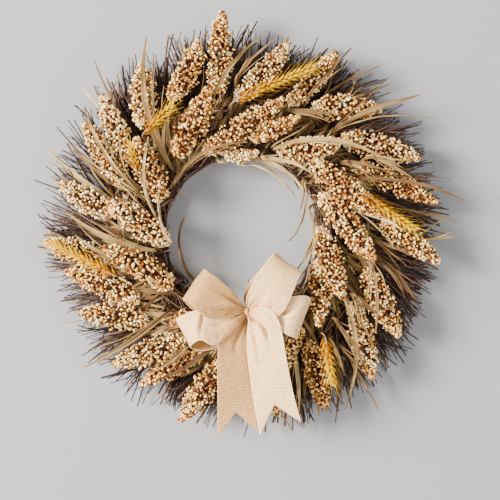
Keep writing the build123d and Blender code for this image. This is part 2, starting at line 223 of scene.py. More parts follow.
def tube_faces(tubes, points, sides):
    """Triangles of closed-end tubes whose corners are numbered tube by tube, ring by ring."""
    ring, side = np.meshgrid(np.arange(points - 1), np.arange(sides), indexing="ij")
    a = ring * sides + side
    b = ring * sides + (side + 1) % sides
    wall = np.stack([a, b, b + sides, a, b + sides, a + sides], -1).reshape(-1, 3)
    fan = np.array([[0, k + 1, k] for k in range(1, sides - 1)])
    last = (points - 1) * sides
    cap = np.array([[last, last + k, last + k + 1] for k in range(1, sides - 1)])
    one = np.concatenate([wall, fan, cap])
    return (one[None] + (np.arange(tubes) * points * sides)[:, None, None]).reshape(-1, 3)


def tubes(bag, centres, radii, sides, tint, slot=0):
    """Adds round tubes along many lines: centres are (tubes, points, 3), radii (tubes, points)."""
    count, points = centres.shape[:2]
    centres = centres.copy()
    centres[..., 1] = np.minimum(centres[..., 1], -LEAST_DEPTH)
    side, lift = frames_for(unit(np.gradient(centres, axis=1)))
    turn = np.arange(sides) * 2 * math.pi / sides
    ring = side[:, :, None] * np.cos(turn)[:, None] + lift[:, :, None] * np.sin(turn)[:, None]
    corners = centres[:, :, None] + ring * radii[:, :, None, None]
    tints = np.broadcast_to(np.asarray(tint).reshape(-1, 1, 1), (count, points, sides)).ravel()
    alongs = np.broadcast_to(np.linspace(0, 1, points)[None, :, None], (count, points, sides)).ravel()
    bag.add(corners, tube_faces(count, points, sides), tints, alongs, slot)


def smooth_line(knots, count):
    """Catmull-Rom curve through knots, sampled evenly from knot to knot."""
    knots = np.asarray(knots, float)
    padded = np.concatenate([[2 * knots[0] - knots[1]], knots, [2 * knots[-1] - knots[-2]]])
    where = np.linspace(0, len(knots) - 1, count)
    index = np.minimum(where.astype(int), len(knots) - 2)
    t = (where - index).reshape((-1,) + (1,) * (knots.ndim - 1))
    p0, p1, p2, p3 = (padded[index + k] for k in range(4))
    return 0.5 * (2 * p1 + (p2 - p0) * t + (2 * p0 - 5 * p1 + 4 * p2 - p3) * t**2
                  + (3 * p1 - p0 - 3 * p2 + p3) * t**3)


def ball(subdivisions):
    """Unit sphere of triangles: an icosahedron split a number of times."""
    mesh = bpy.data.meshes.new("ball")
    work = bmesh.new()
    bmesh.ops.create_icosphere(work, subdivisions=subdivisions, radius=1.0)
    work.to_mesh(mesh)
    work.free()
    points = np.array([v.co for v in mesh.vertices])
    faces = np.array([p.vertices for p in mesh.polygons])
    bpy.data.meshes.remove(mesh)
    return points, faces


def grains(bag, shape, places, directions, lengths, widths, tints, pinch=0.0):
    """Adds one copy of a unit shape at every place, its third axis along the direction."""
    points, faces = shape
    side, lift = frames_for(directions)
    height = points[:, 2]
    taper = 1 - pinch * height
    body = (
        side[:, None] * (points[:, 0] * taper)[None, :, None] * widths[:, None, None]
        + lift[:, None] * (points[:, 1] * taper)[None, :, None] * widths[:, None, None]
        + directions[:, None] * height[None, :, None] * lengths[:, None, None]
    )
    corners = places[:, None] + body
    count = len(places)
    all_faces = (faces[None] + (np.arange(count) * len(points))[:, None, None]).reshape(-1, 3)
    alongs = np.tile((height + 1) / 2, count)
    bag.add(corners, all_faces, np.repeat(tints, len(points)), alongs)


def wander(rng, count, points, reach):
    """Smooth random sideways drift for many lines, zero at the root."""
    share = np.linspace(0, 1, points)
    drift = np.zeros((count, points, 3))
    for wave in (1, 2, 3):
        phase = rng.uniform(0, 2 * math.pi, (count, 1, 3))
        size = rng.normal(0, reach / wave, (count, 1, 3))
        drift += size * np.sin(share[None, :, None] * math.pi * wave + phase)
    return (drift - drift[:, :1]) * share[None, :, None] ** 0.5


# ---- materials --------------------
def new_material(name, roughness, specular=0.3):
    material = bpy.data.materials.new(name)
    material.use_nodes = True
    shader = material.node_tree.nodes["Principled BSDF"]
    shader.inputs["Roughness"].default_value = roughness
    shader.inputs["Specular IOR Level"].default_value = specular
    return material, material.node_tree, shader


def add_node(tree, kind, **values):
    node = tree.nodes.new(kind)
    for key, value in values.items():
        if key in node.inputs:
            node.inputs[key].default_value = value
        else:
            setattr(node, key, value)
    return node


def feed(tree, socket, value):
    """Gives a socket a link, a number or a colour."""
    if isinstance(value, bpy.types.NodeSocket):
        tree.links.new(value, socket)
    elif isinstance(value, float):
        socket.default_value = value
    else:
        socket.default_value = (*value, 1)


def ramp(tree, source, *stops):
    """Colour ramp over a value, from (place, colour) stops."""
    node = tree.nodes.new("ShaderNodeValToRGB")
    elements = node.color_ramp.elements
    while len(elements) < len(stops):
        elements.new(0.5)
    for element, (place, colour) in zip(elements, stops):
        element.position = place
        element.color = (*colour, 1)
    tree.links.new(source, node.inputs["Fac"])
    return node.outputs["Color"]


def by_point(tree, name, *stops):
    """Colour ramp over a value kept at each point of the mesh."""
    source = add_node(tree, "ShaderNodeAttribute", attribute_name=name).outputs["Fac"]
    return ramp(tree, source, *stops)


def multiply(tree, tone, *layers):
    """Colour multiplied by layers, each a (strength, colour) pair."""
    for strength, layer in layers:
        node = add_node(tree, "ShaderNodeMix", data_type="RGBA", blend_type="MULTIPLY")
        for index, value in ((0, strength), (6, tone), (7, layer)):
            feed(tree, node.inputs[index], value)
        tone = node.outputs[2]
    return tone


def arithmetic(tree, operation, first, second=0.0):
    node = add_node(tree, "ShaderNodeMath", operation=operation)
    feed(tree, node.inputs[0], first)
    feed(tree, node.inputs[1], second)
    return node.outputs[0]


def noise(tree, scale, detail, source=None, stretch=None):
    """Noise over object space in metres, or over another coordinate."""
    node = add_node(tree, "ShaderNodeTexNoise", Scale=scale, Detail=detail)
    if source is None:
        source = add_node(tree, "ShaderNodeTexCoord").outputs["Object"]
    if stretch:
        mapping = add_node(tree, "ShaderNodeMapping", Scale=stretch)
        tree.links.new(source, mapping.inputs["Vector"])
        source = mapping.outputs["Vector"]
    tree.links.new(source, node.inputs["Vector"])
    return node.outputs["Fac"]


def surface_place(tree):
    """Place on a blade or a ribbon in millimetres: across it, then along it."""
    return add_node(tree, "ShaderNodeUVMap", uv_map="weave").outputs["UV"]


def paint(tree, shader, tone):
    tree.links.new(tone, shader.inputs["Base Color"])


def bump(tree, shader, height, strength, distance=0.0005):
    node = add_node(tree, "ShaderNodeBump", Strength=strength, Distance=distance)
    tree.links.new(height, node.inputs["Height"])
    tree.links.new(node.outputs["Normal"], shader.inputs["Normal"])


WHITE = (1.0, 1.0, 1.0)


def twig_material():
    material, tree, shader = new_material("twig_bark", 0.6, 0.2)
    tone = by_point(tree, "tint", (0.0, (0.012, 0.006, 0.003)), (0.45, (0.047, 0.021, 0.012)),
                    (0.75, (0.13, 0.065, 0.036)), (1.0, (0.32, 0.20, 0.13)))
    grain = noise(tree, 900, 5)
    mottle = ramp(tree, grain, (0.3, (0.45, 0.45, 0.45)), (0.7, (1.35, 1.3, 1.3)))
    paint(tree, shader, multiply(tree, tone, (0.7, mottle)))
    bump(tree, shader, grain, 0.5)
    return material


def grain_material():
    material, tree, shader = new_material("seed_grain", 0.75, 0.15)
    husk = by_point(tree, "tint", (0.0, (0.10, 0.026, 0.005)), (0.12, (0.34, 0.115, 0.02)),
                    (0.35, (0.78, 0.42, 0.09)), (0.6, (1.0, 0.73, 0.25)), (0.85, (1.0, 0.88, 0.42)),
                    (1.0, (1.0, 0.96, 0.62)))
    base = by_point(tree, "along", (0.0, (0.10, 0.03, 0.01)), (0.38, (0.60, 0.34, 0.17)), (0.6, WHITE))
    fleck = ramp(tree, noise(tree, 650, 3), (0.35, (0.72, 0.58, 0.46)), (0.55, WHITE))
    paint(tree, shader, multiply(tree, husk, (0.85, base), (0.6, fleck)))
    bump(tree, shader, noise(tree, 1500, 3), 0.35, 0.0003)
    return material


def chaff_shade_material():
    material, tree, shader = new_material("seed_chaff_painted_shade", 0.8, 0.15)
    # The chaff's own dark brown, taken nearly to black as painted shade in the gaps between the grains.
    paint(tree, shader, ramp(tree, noise(tree, 420, 5), (0.3, (0.010, 0.004, 0.002)),
                             (0.55, (0.035, 0.013, 0.005)), (0.75, (0.16, 0.055, 0.018))))
    bump(tree, shader, noise(tree, 1100, 4), 0.8)
    return material


def stalk_material():
    material, tree, shader = new_material("dry_stalk", 0.6)
    tone = by_point(tree, "tint", (0.0, (0.20, 0.10, 0.045)), (0.5, (0.48, 0.30, 0.14)),
                    (1.0, (0.72, 0.56, 0.32)))
    streak = ramp(tree, noise(tree, 700, 4), (0.3, (0.6, 0.55, 0.5)), (0.7, (1.15, 1.15, 1.1)))
    paint(tree, shader, multiply(tree, tone, (0.7, streak)))
    return material


def leaf_material():
    material, tree, shader = new_material("husk_leaf", 0.72, 0.12)
    tone = by_point(tree, "tint", (0.0, (0.05, 0.024, 0.010)), (0.25, (0.14, 0.075, 0.030)),
                    (0.5, (0.29, 0.18, 0.068)), (0.72, (0.40, 0.285, 0.11)), (0.88, (0.68, 0.54, 0.27)),
                    (1.0, (0.48, 0.26, 0.10)))
    vein = noise(tree, 1.0, 4, surface_place(tree), (3.2, 0.045, 1.0))
    veins = ramp(tree, vein, (0.3, (0.5, 0.46, 0.42)), (0.55, WHITE), (0.75, (1.35, 1.32, 1.25)))
    ends = by_point(tree, "along", (0.0, (0.55, 0.48, 0.42)), (0.35, WHITE), (0.8, WHITE),
                    (1.0, (0.85, 0.72, 0.6)))
    blotch = ramp(tree, noise(tree, 55, 3), (0.35, (0.72, 0.66, 0.6)), (0.6, WHITE))
    paint(tree, shader, multiply(tree, tone, (0.75, veins), (0.8, ends), (1.0, blotch)))
    bump(tree, shader, vein, 0.5, 0.0004)
    return material


def wheat_material():
    material, tree, shader = new_material("wheat_ear", 0.7, 0.03)
    tone = by_point(tree, "tint", (0.0, (0.20, 0.055, 0.0)), (0.3, (0.40, 0.17, 0.0)),
                    (0.65, (0.58, 0.31, 0.0)), (1.0, (0.72, 0.46, 0.0)))
    # Darker towards each husk's base: its own reddish base, deepened with painted shade for the gaps between
    # spikelets.
    husk = by_point(tree, "along", (0.0, (0.20, 0.08, 0.02)), (0.35, (0.72, 0.62, 0.6)), (0.6, WHITE),
                    (1.0, (1.0, 1.0, 0.8)))
    paint(tree, shader, multiply(tree, tone, (0.75, husk)))
    bump(tree, shader, noise(tree, 1500, 3), 0.3, 0.0003)
    return material


THREAD_WAVE = math.pi / 1.75  # threads every 1.75 mm
THREAD_DRIFT = 1.2  # how far the threads wander, in millimetres


def thread_crossing(tree, uv):
    """Product of two waves, one for each way that the uneven threads run."""
    wobble = add_node(tree, "ShaderNodeTexNoise", Scale=0.22, Detail=2.0)
    tree.links.new(uv, wobble.inputs["Vector"])
    shift = add_node(tree, "ShaderNodeVectorMath", operation="SCALE")
    tree.links.new(wobble.outputs["Color"], shift.inputs[0])
    shift.inputs["Scale"].default_value = THREAD_DRIFT
    placed = add_node(tree, "ShaderNodeVectorMath", operation="ADD")
    tree.links.new(uv, placed.inputs[0])
    tree.links.new(shift.outputs[0], placed.inputs[1])
    axes = tree.nodes.new("ShaderNodeSeparateXYZ")
    tree.links.new(placed.outputs[0], axes.inputs[0])
    turns = [arithmetic(tree, "MULTIPLY", axes.outputs[k], THREAD_WAVE) for k in (0, 1)]
    return arithmetic(tree, "MULTIPLY", *[arithmetic(tree, "SINE", turn) for turn in turns])


def burlap_material(name, shade):
    material, tree, shader = new_material(name, 0.9, 0.1)
    uv = surface_place(tree)
    crossing = thread_crossing(tree, uv)
    weave = arithmetic(tree, "POWER", arithmetic(tree, "ABSOLUTE", crossing), 0.6)
    raised = arithmetic(tree, "ADD", arithmetic(tree, "MULTIPLY", crossing, 0.5), 0.5)
    slub = noise(tree, 0.9, 3, uv, (1.0, 0.12, 1.0))
    tone = ramp(tree, slub, (0.25, (0.78, 0.49, 0.21)), (0.5, (0.96, 0.69, 0.38)),
                (0.75, (1.0, 0.84, 0.56)))
    # Painted light and shade: each length of ribbon lighter or darker by its tint.
    painted_light_tone = by_point(tree, "tint", (0.0, (0.56, 0.42, 0.28)), (0.5, (0.90, 0.83, 0.74)),
                        (1.0, (1.15, 1.15, 1.17)))
    # Painted shade: darker near the pinch and in crease valleys, carried by each point's along value.
    shade_near_pinch = by_point(tree, "along", (0.1, (0.55, 0.44, 0.34)), (0.5, (0.88, 0.83, 0.76)), (1.0, WHITE))
    gaps = ramp(tree, weave, (0.1, (0.30, 0.20, 0.12)), (0.55, WHITE))
    over = ramp(tree, raised, (0.2, (0.80, 0.75, 0.68)), (0.8, (1.15, 1.15, 1.15)))
    speck = ramp(tree, noise(tree, 0.5, 3, uv), (0.36, (0.80, 0.71, 0.60)), (0.62, (1.14, 1.14, 1.14)))
    shaded = (shade, shade * 0.97, shade * 0.93)
    paint(tree, shader, multiply(tree, tone, (1.0, painted_light_tone), (1.0, shade_near_pinch), (0.5, gaps), (1.0, over),
                                 (1.0, speck), (1.0, shaded)))
    shader.inputs["Sheen Weight"].default_value = 0.06
    bump(tree, shader, weave, 0.9, 0.0006)
    return material


def wire_material(name, colour, metallic, roughness):
    material, tree, shader = new_material(name, roughness, 0.5)
    shader.inputs["Metallic"].default_value = metallic
    wear = noise(tree, 300, 5)
    low = tuple(0.55 * c for c in colour)
    high = tuple(min(1, 1.3 * c + 0.02) for c in colour)
    paint(tree, shader, ramp(tree, wear, (0.3, low), (0.7, high)))
    bump(tree, shader, wear, 0.15)
    return material


MATERIALS = {
    "twig": twig_material(), "grain": grain_material(), "chaff": chaff_shade_material(), "stalk": stalk_material(),
    "leaf": leaf_material(), "wheat": wheat_material(), "burlap": burlap_material("burlap", 1.0),
    "selvedge": burlap_material("burlap_selvedge", 0.82),
    "frame_wire": wire_material("frame_enamel", (0.035, 0.06, 0.03), 0.3, 0.45),
    "binding_wire": wire_material("brown_paddle_wire", (0.09, 0.05, 0.03), 0.6, 0.5),
    "hanger_wire": wire_material("galvanised_wire", (0.55, 0.55, 0.54), 1.0, 0.38),
}


# ---- twigs --------------------
# How many twigs stand in the brush at each hour: thick from eleven to four, open at the bottom and the left.
TWIGS = {12: 160, 1: 170, 2: 170, 3: 160, 4: 150, 5: 110, 6: 75, 7: 80, 8: 90, 9: 95, 10: 115, 11: 145}
TWIGS_PER_SPRAY = 5
BRANCHLETS_PER_HOUR = 80
CURLS_PER_HOUR = 3
TWIG_POINTS = 7
# Depths in front of the door between which twigs start and end, and branchlets stay.
ROOT_DEPTHS = (3, 30)
TIP_DEPTHS = (1.5, 34)
BRANCHLET_DEPTHS = (1.2, 38)


def turn_about_axis(points, degrees):
    """Points turned clockwise about the ring's axis, each by its own angle."""
    angle = np.radians(degrees)
    c, s = np.cos(angle), np.sin(angle)
    x, z = points[..., 0], points[..., 2]
    return np.stack([x * c + z * s, points[..., 1], z * c - x * s], -1)


def keep_depth(points, depths):
    points[..., 1] = np.clip(points[..., 1], -depths[1], -depths[0])


def twig_lines(rng, rods, count):
    """Roots and tips for many twigs, strewn round the frame's own twigs."""
    sprays = count // TWIGS_PER_SPRAY
    chosen = np.repeat(rng.integers(0, len(rods), sprays), TWIGS_PER_SPRAY)
    root = np.array([rods[k][0].mean(0) for k in chosen])
    tip = np.array([rods[k][-1].mean(0) for k in chosen])
    swing = np.repeat(rng.normal(0, 2.2, sprays), TWIGS_PER_SPRAY)
    lean = np.repeat(rng.normal(0, 3.0, sprays), TWIGS_PER_SPRAY)
    root = turn_about_axis(root, swing + rng.normal(0, 0.5, count))
    tip = turn_about_axis(tip, swing + lean + rng.normal(0, 3.0, count))
    root[:, 1] += rng.normal(0, 3.5, count)
    tip[:, 1] += np.repeat(rng.normal(0, 4.5, sprays), TWIGS_PER_SPRAY) + rng.normal(0, 1.5, count)
    reach = np.repeat(rng.normal(0.82, 0.10, sprays), TWIGS_PER_SPRAY) + rng.normal(0, 0.06, count)
    reach = np.clip(reach, 0.5, 0.99)[:, None]
    tip = root + (tip - root) * reach
    keep_depth(root, ROOT_DEPTHS)
    keep_depth(tip, TIP_DEPTHS)
    return root, tip


def twig_bundle(hour):
    """The thin dark twigs of one hour, with branchlets and a few curly tendrils."""
    rng = np.random.default_rng(100 + hour)
    node = f"twigs_{hour:02d}_oclock"
    bag = Bag()
    share = np.linspace(0, 1, TWIG_POINTS)
    count = TWIGS[hour]
    root, tip = twig_lines(rng, rod_rings(node, by_radius=True), count)
    lines = root[:, None] + (tip - root)[:, None] * share[None, :, None]
    bow = np.repeat(rng.normal(0, 4.5, (count // TWIGS_PER_SPRAY, 1)), TWIGS_PER_SPRAY, 0)
    across = unit(np.cross(unit(tip - root), FRONT))
    lines += across[:, None] * (bow * np.sin(math.pi * share)[None])[..., None]
    lines += wander(rng, count, TWIG_POINTS, 2.4)
    thick = rng.uniform(0.72, 1.25, (count, 1)) * (1 + 0.6 * (rng.random((count, 1)) < 0.12))
    tubes(bag, lines, thick * (1 - 0.4 * share[None] ** 1.5), 5, rng.beta(1.3, 2.3, count))
    branchlets(bag, rng, lines, ring_radius(tip).max())
    curls(bag, rng, lines)
    bag.build(f"twig_brush_{hour:02d}", ["twig"], node)


def branchlets(bag, rng, lines, limit):
    """Short side twigs that stay within a radius."""
    count = BRANCHLETS_PER_HOUR
    points = 5
    parent = rng.integers(0, len(lines), count)
    joint = rng.integers(2, TWIG_POINTS - 2, count)
    start = lines[parent, joint]
    heading = unit(lines[parent, joint + 1] - start)
    heading = unit(heading + rng.normal(0, 0.36, heading.shape) * [1, 0.6, 1])
    length = rng.uniform(7, 20, (count, 1, 1))
    sprigs = start[:, None] + heading[:, None] * np.linspace(0, 1, points)[None, :, None] * length
    sprigs += wander(rng, count, points, 0.8)
    keep_depth(sprigs, BRANCHLET_DEPTHS)
    sprigs[..., ::2] *= np.minimum(1, limit / ring_radius(sprigs))[..., None]
    radii = np.broadcast_to(np.linspace(0.52, 0.34, points), (count, points))
    tubes(bag, sprigs, radii, 3, rng.beta(1.6, 2.4, count))


def curls(bag, rng, lines):
    """Thin tendrils that coil and wave past the ends of a few twigs."""
    points = 26
    share = np.linspace(0, 1, points)
    for _ in range(CURLS_PER_HOUR):
        line = lines[rng.integers(0, len(lines))]
        start = line[-3]
        out = unit(line[-1] - start)
        across = unit(np.cross(out, FRONT))
        turns = rng.uniform(1.2, 2.4) * 2 * math.pi
        swing = rng.uniform(2.0, 4.5)
        phase = rng.uniform(0, 2 * math.pi)
        wave = np.sin(share * turns + phase) - math.sin(phase)
        rise = np.cos(share * turns + phase) - math.cos(phase)
        length = rng.uniform(18, 30)
        path = start + out * (share * length)[:, None] + across * (swing * wave * share**0.5)[:, None]
        path = path + out * (0.45 * swing * rise * share)[:, None]
        tubes(bag, path[None], np.linspace(0.5, 0.22, points)[None], 4, [rng.uniform(0.1, 0.6)])


# ---- bound core --------------------
CORE_STRANDS = 1200
STRAND_POINTS = 16
FILLING = 0.74  # the dark filling's share of the core's section

# The room behind the core that the hanging loop's eyes and legs need.
POCKET_HALF_WIDTH = 27
POCKET_DEPTH = 16
POCKET_HEIGHTS = (128, 164)


def clear_pocket(points):
    """Points pressed forward out of the hanging loop's room."""
    inside = (np.abs(points[..., 0]) < POCKET_HALF_WIDTH) & (points[..., 2] > POCKET_HEIGHTS[0])
    inside &= points[..., 2] < POCKET_HEIGHTS[1]
    points[..., 1] = np.where(inside, np.minimum(points[..., 1], -POCKET_DEPTH), points[..., 1])
    return points


def core_shape():
    """Middle radius of the bound core, and its depth, which is also half its width, from its CAD box."""
    low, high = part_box("twig_core_ring")
    outer = high.x / MM
    depth = -low.y / MM
    return outer - depth, depth


def core_ring():
    """Bound core: long twigs wound loosely round a D-shaped section, over a dark filling."""
    rng = np.random.default_rng(7)
    middle, half = core_shape()
    bag = Bag()
    steps, sides = 96, 14
    turn = np.linspace(0, 2 * math.pi, steps, endpoint=False)[:, None]
    around = np.linspace(0, 2 * math.pi, sides, endpoint=False)[None]
    lump = FILLING + 0.03 * np.sin(turn * 17 + around * 3) + 0.03 * np.sin(turn * 41)
    depth = half * 0.5 * (1 + 0.8 * np.sin(around) * lump)
    corners = on_ring(middle + half * lump * np.cos(around), turn, depth)
    faces = []
    for i in range(steps):
        for j in range(sides):
            a, b = i * sides + j, i * sides + (j + 1) % sides
            c, d = (i + 1) % steps * sides + (j + 1) % sides, (i + 1) % steps * sides + j
            faces += [(a, c, b), (a, d, c)]
    bag.add(clear_pocket(corners), faces, 0.12, 0.5)
    strands(bag, rng, middle, half)
    bag.build("wound_twig_core", ["twig"], "twig_core_ring")


def strands(bag, rng, middle, half):
    """Winding twigs laid over the core's section, their ends springing free."""
    share = np.linspace(0, 1, STRAND_POINTS)
    count = CORE_STRANDS
    start = rng.uniform(0, 2 * math.pi, (count, 1))
    sweep = rng.uniform(0.7, 1.7, (count, 1)) * np.sign(rng.random((count, 1)) - 0.25)
    turn = start + sweep * share[None]
    section = rng.uniform(0, 2 * math.pi, (count, 1))
    section = section + rng.normal(0, 0.7, (count, 1)) * (share[None] - 0.5) * 2
    fullness = rng.uniform(0.74, 1.0, (count, 1)) + 0.05 * np.sin(turn * 9 + start)
    fullness = fullness + 0.10 * rng.random((count, 1)) * (2 * np.abs(share[None] - 0.5)) ** 6
    u, v = np.cos(section), np.sin(section)
    radius = middle + half * fullness * u
    depth = np.where(v > 0, half * fullness * v, 2.0 + 1.2 * (1 + v)) + 1.0
    lines = on_ring(radius, turn, np.maximum(depth, 1.6))
    lines += wander(rng, count, STRAND_POINTS, 0.9)
    lines[..., 1] = np.minimum(lines[..., 1], -1.5)
    lines = clear_pocket(lines)
    thick = rng.uniform(0.6, 1.35, (count, 1)) * (1 - 0.5 * (2 * np.abs(share[None] - 0.5)) ** 3)
    tubes(bag, lines, thick, 5, rng.beta(1.2, 1.3, count))


# ---- seed heads --------------------
HEAD_CORE = 0.74  # the CAD kernel's share of a head's width
HEAD_FULLNESS = 1.22
HEAD_SAMPLES = 24
CHAFF_SHARE = 0.36  # the chaff body's share of a head's half width
LOBE_PITCH = 2.3
LOBE_TURN = 2.399  # from one lobe to the next round the stalk: the golden angle
GRAINS_PER_LOBE = 20
SEED = ball(2)
SMALL_GRAIN = ball(1)


def lumpy(shape, rng):
    """A seed with flats and bulges: the ball pushed in and out along a few random directions."""
    points, faces = shape
    dent = np.zeros(len(points))
    for _ in range(5):
        way = unit(rng.normal(0, 1, 3))
        dent += rng.normal(0, 0.16) * np.maximum(0, points @ way) ** 2
    return points * (1 + dent)[:, None], faces


SEEDS = [lumpy(SEED, np.random.default_rng(900 + k)) for k in range(8)]


def fibonacci_directions(count):
    """Directions spread evenly over a sphere."""
    k = np.arange(count) + 0.5
    z = 1 - 2 * k / count
    angle = math.pi * (1 + 5**0.5) * k
    flat = np.sqrt(1 - z**2)
    return np.stack([flat * np.cos(angle), flat * np.sin(angle), z], -1)


def seed_head(bag, rng, rings):
    """One head: a rough chaff body, lobes of pale grains over it, and its stem."""
    centres, halves = spine(rings)
    stem, centres, halves = centres[:2], centres[1:], halves[1:] * HEAD_FULLNESS / HEAD_CORE
    share = np.linspace(0, 1, HEAD_SAMPLES)
    line = smooth_line(centres, HEAD_SAMPLES)
    bend = np.sin(share * math.pi) * rng.normal(0, 2.0)
    ripe = rng.normal(0, 0.13)
    axis = unit(centres[-1] - centres[0])
    line = line + np.cross(axis, FRONT) * bend[:, None]
    full = np.maximum(smooth_line(halves, HEAD_SAMPLES), 1.2)
    body = full * CHAFF_SHARE * (1 + 0.12 * np.sin(share * 37 + rng.uniform(0, 6)))
    # Chaff body under the grains, coloured partly with painted shade for the gaps.
    tubes(bag, line[None], body[None], 9, [0.5], slot=1)

    length = np.linalg.norm(centres[-1] - centres[0])
    lobes = int(length / LOBE_PITCH)
    turn = rng.uniform(0, 2 * math.pi)
    side, lift = (v[0] for v in frames_for(axis[None]))
    sprout = fibonacci_directions(GRAINS_PER_LOBE)
    for k in range(lobes):
        at = (k + rng.uniform(0.2, 0.8)) / lobes
        index = at * (HEAD_SAMPLES - 1)
        centre = line[int(index)]
        radius = np.interp(index, np.arange(HEAD_SAMPLES), full)
        turn += LOBE_TURN + rng.normal(0, 0.16)
        out = side * math.cos(turn) + lift * math.sin(turn)
        lobe_radius = (0.42 * radius + 1.3) * rng.uniform(0.85, 1.15)
        place = centre + out * max(0.0, radius - lobe_radius * 0.95) + axis * rng.normal(0, 1.0)
        add_lobe(bag, rng, place, lobe_radius, out, axis, sprout, ripe + rng.normal(0, 0.08))
    inner_grains(bag, rng, line, full, axis)
    add_stem(bag, rng, stem, centres[0])


def inner_grains(bag, rng, line, full, axis):
    """Small grains close to the stalk, seen between the lobes, tinted dark as painted shade."""
    count = int(len(line) * 15)
    at = rng.uniform(0, len(line) - 1.01, count)
    low = at.astype(int)
    part = (at - low)[:, None]
    centre = line[low] * (1 - part) + line[low + 1] * part
    side, lift = frames_for(np.repeat(axis[None], count, 0))
    turn = rng.uniform(0, 2 * math.pi, count)[:, None]
    out = side * np.cos(turn) + lift * np.sin(turn)
    places = centre + out * (full[low] * rng.uniform(0.38, 0.76, count))[:, None]
    lengths = rng.uniform(1.2, 2.1, count)
    # Dark tints: painted shade in the gaps between the lobes.
    tints = np.clip(rng.normal(0.10, 0.16, count), 0, 1)
    grains(bag, SMALL_GRAIN, places, unit(out + axis * 0.5), lengths, lengths * 0.85, tints)


def add_lobe(bag, rng, centre, radius, out, axis, sprout, ripe):
    """Cluster of grains round one branchlet, open on the side that faces the stalk."""
    spun = unit(sprout + rng.normal(0, 0.18, sprout.shape))
    spun = spun[spun @ out > -0.35]
    places = centre + spun * radius * rng.uniform(0.72, 1.12, (len(spun), 1))
    lean = unit(spun + axis * 0.55 + rng.normal(0, 0.42, spun.shape))
    count = len(spun)
    lengths = rng.uniform(1.1, 2.25, count)
    widths = lengths * rng.uniform(0.56, 0.88, count)
    tints = np.clip(rng.beta(1.5, 0.95, count) + ripe, 0, 1)
    grains(bag, SEEDS[rng.integers(0, len(SEEDS))], places, lean, lengths, widths, tints, pinch=0.22)


def add_stem(bag, rng, stem, base):
    points = 8
    line = smooth_line([stem[0], (stem[0] + base) / 2 + rng.normal(0, 0.6, 3), base], points)
    tubes(bag, line[None], np.linspace(1.3, 1.1, points)[None], 6, [rng.uniform(0.2, 0.8)], slot=2)


def seed_heads(hour):
    rng = np.random.default_rng(300 + hour)
    node = f"seed_heads_{hour:02d}_oclock"
    bag = Bag()
    for rings in rod_rings(node):
        seed_head(bag, rng, rings)
    bag.build(f"grain_heads_{hour:02d}", ["grain", "chaff", "stalk"], node)


# ---- husk leaves --------------------
LEAF_SAMPLES = 34
LEAF_ACROSS = 9
LEAF_HALF_THICKNESS = 0.16
FILLER_BLADES_PER_HOUR = 26
FILLER_SAMPLES = 18
STRAWS_PER_HOUR = 34
CORE_MIDDLE, CORE_HALF = 124, 36  # the rounded front that loose blades and straws lie on


def blade(bag, rng, line, halves, tint, fold, twist, wave):
    """One dried blade: closed, ribbed, folded along its middle and waved at its edges."""
    count = len(line)
    share = np.linspace(0, 1, count)
    line = line.copy()
    line[:, 1] = np.minimum(line[:, 1], -LEAST_DEPTH - halves)
    side, lift = frames_facing(unit(np.gradient(line, axis=0)))
    roll = twist[0] + twist[1] * share
    c, s = np.cos(roll)[:, None], np.sin(roll)[:, None]
    side, lift = side * c + lift * s, lift * c - side * s
    across = np.linspace(-1, 1, LEAF_ACROSS)
    phase = rng.uniform(0, 6.28, 2)
    edge = wave * np.abs(across)[None] ** 2 * np.sin(share[:, None] * 19 + np.sign(across)[None] + phase[0])
    rib = 0.10 * np.cos(across * math.pi * 4)[None]
    open_angle = fold * (1 + 0.35 * np.sin(share * 5 + phase[1]))[:, None]
    flat = halves[:, None] * across[None] * np.cos(open_angle)
    rise = halves[:, None] * np.abs(across)[None] * np.sin(open_angle)
    rise = rise + (edge + rib) * np.minimum(1, halves)[:, None]
    middle = line[:, None] + side[:, None] * flat[..., None] + lift[:, None] * rise[..., None]
    shift = lift[:, None] * LEAF_HALF_THICKNESS
    ring = np.concatenate([middle + shift, (middle - shift)[:, ::-1]], axis=1)
    sides = ring.shape[1]
    length = length_along(line)
    wide = np.concatenate([across, across[::-1]])[None] * halves[:, None]
    uv = np.stack([wide + rng.uniform(0, 500), np.broadcast_to(length[:, None], wide.shape)], -1)
    bag.add(ring, tube_faces(1, count, sides), tint, np.repeat(share, sides), 0, uv)


def husk_leaf(bag, rng, rings):
    """A main blade on the CAD leaf's line with two to four slimmer blades beside it."""
    centres, halves = spine(rings)
    line = smooth_line(centres, LEAF_SAMPLES)
    share = np.linspace(0, 1, LEAF_SAMPLES)
    half = np.maximum(np.interp(share, np.linspace(0, 1, len(halves)), halves), 0.35)
    line = line + wander(rng, 1, LEAF_SAMPLES, 0.9)[0]
    tint = random_tint(rng, 0.52, 0.24, 0.05)
    blade(bag, rng, line, half * 0.92, tint, rng.uniform(0.15, 0.6), rng.normal(0, 0.25, 2), 0.45)
    for _ in range(rng.integers(2, 5)):
        swing = rng.normal(0, 5.0)
        cut = max(12, int(LEAF_SAMPLES * rng.uniform(0.6, 0.98)))
        share = np.linspace(0, 1, cut)
        part = line[:cut] + wander(rng, 1, cut, 1.4)[0]
        part = turn_about_axis(part, swing * share**1.3)
        part[:, 1] += rng.uniform(-1.5, 2.0) * share
        slim = np.interp(share, [0, 0.2, 0.7, 1], [0.5, 0.8, 0.6, 0.2]) * rng.uniform(0.7, 1.5)
        part_tint = random_tint(rng, tint, 0.18)
        blade(bag, rng, part, slim, part_tint, 0.4, rng.normal(0, 0.4, 2), 0.2)


def core_rise(radius):
    """How far the core's front stands from the door at a radius."""
    across = np.minimum(1, np.abs(radius - CORE_MIDDLE) / CORE_HALF)
    return CORE_HALF * np.sqrt(1 - across**2)


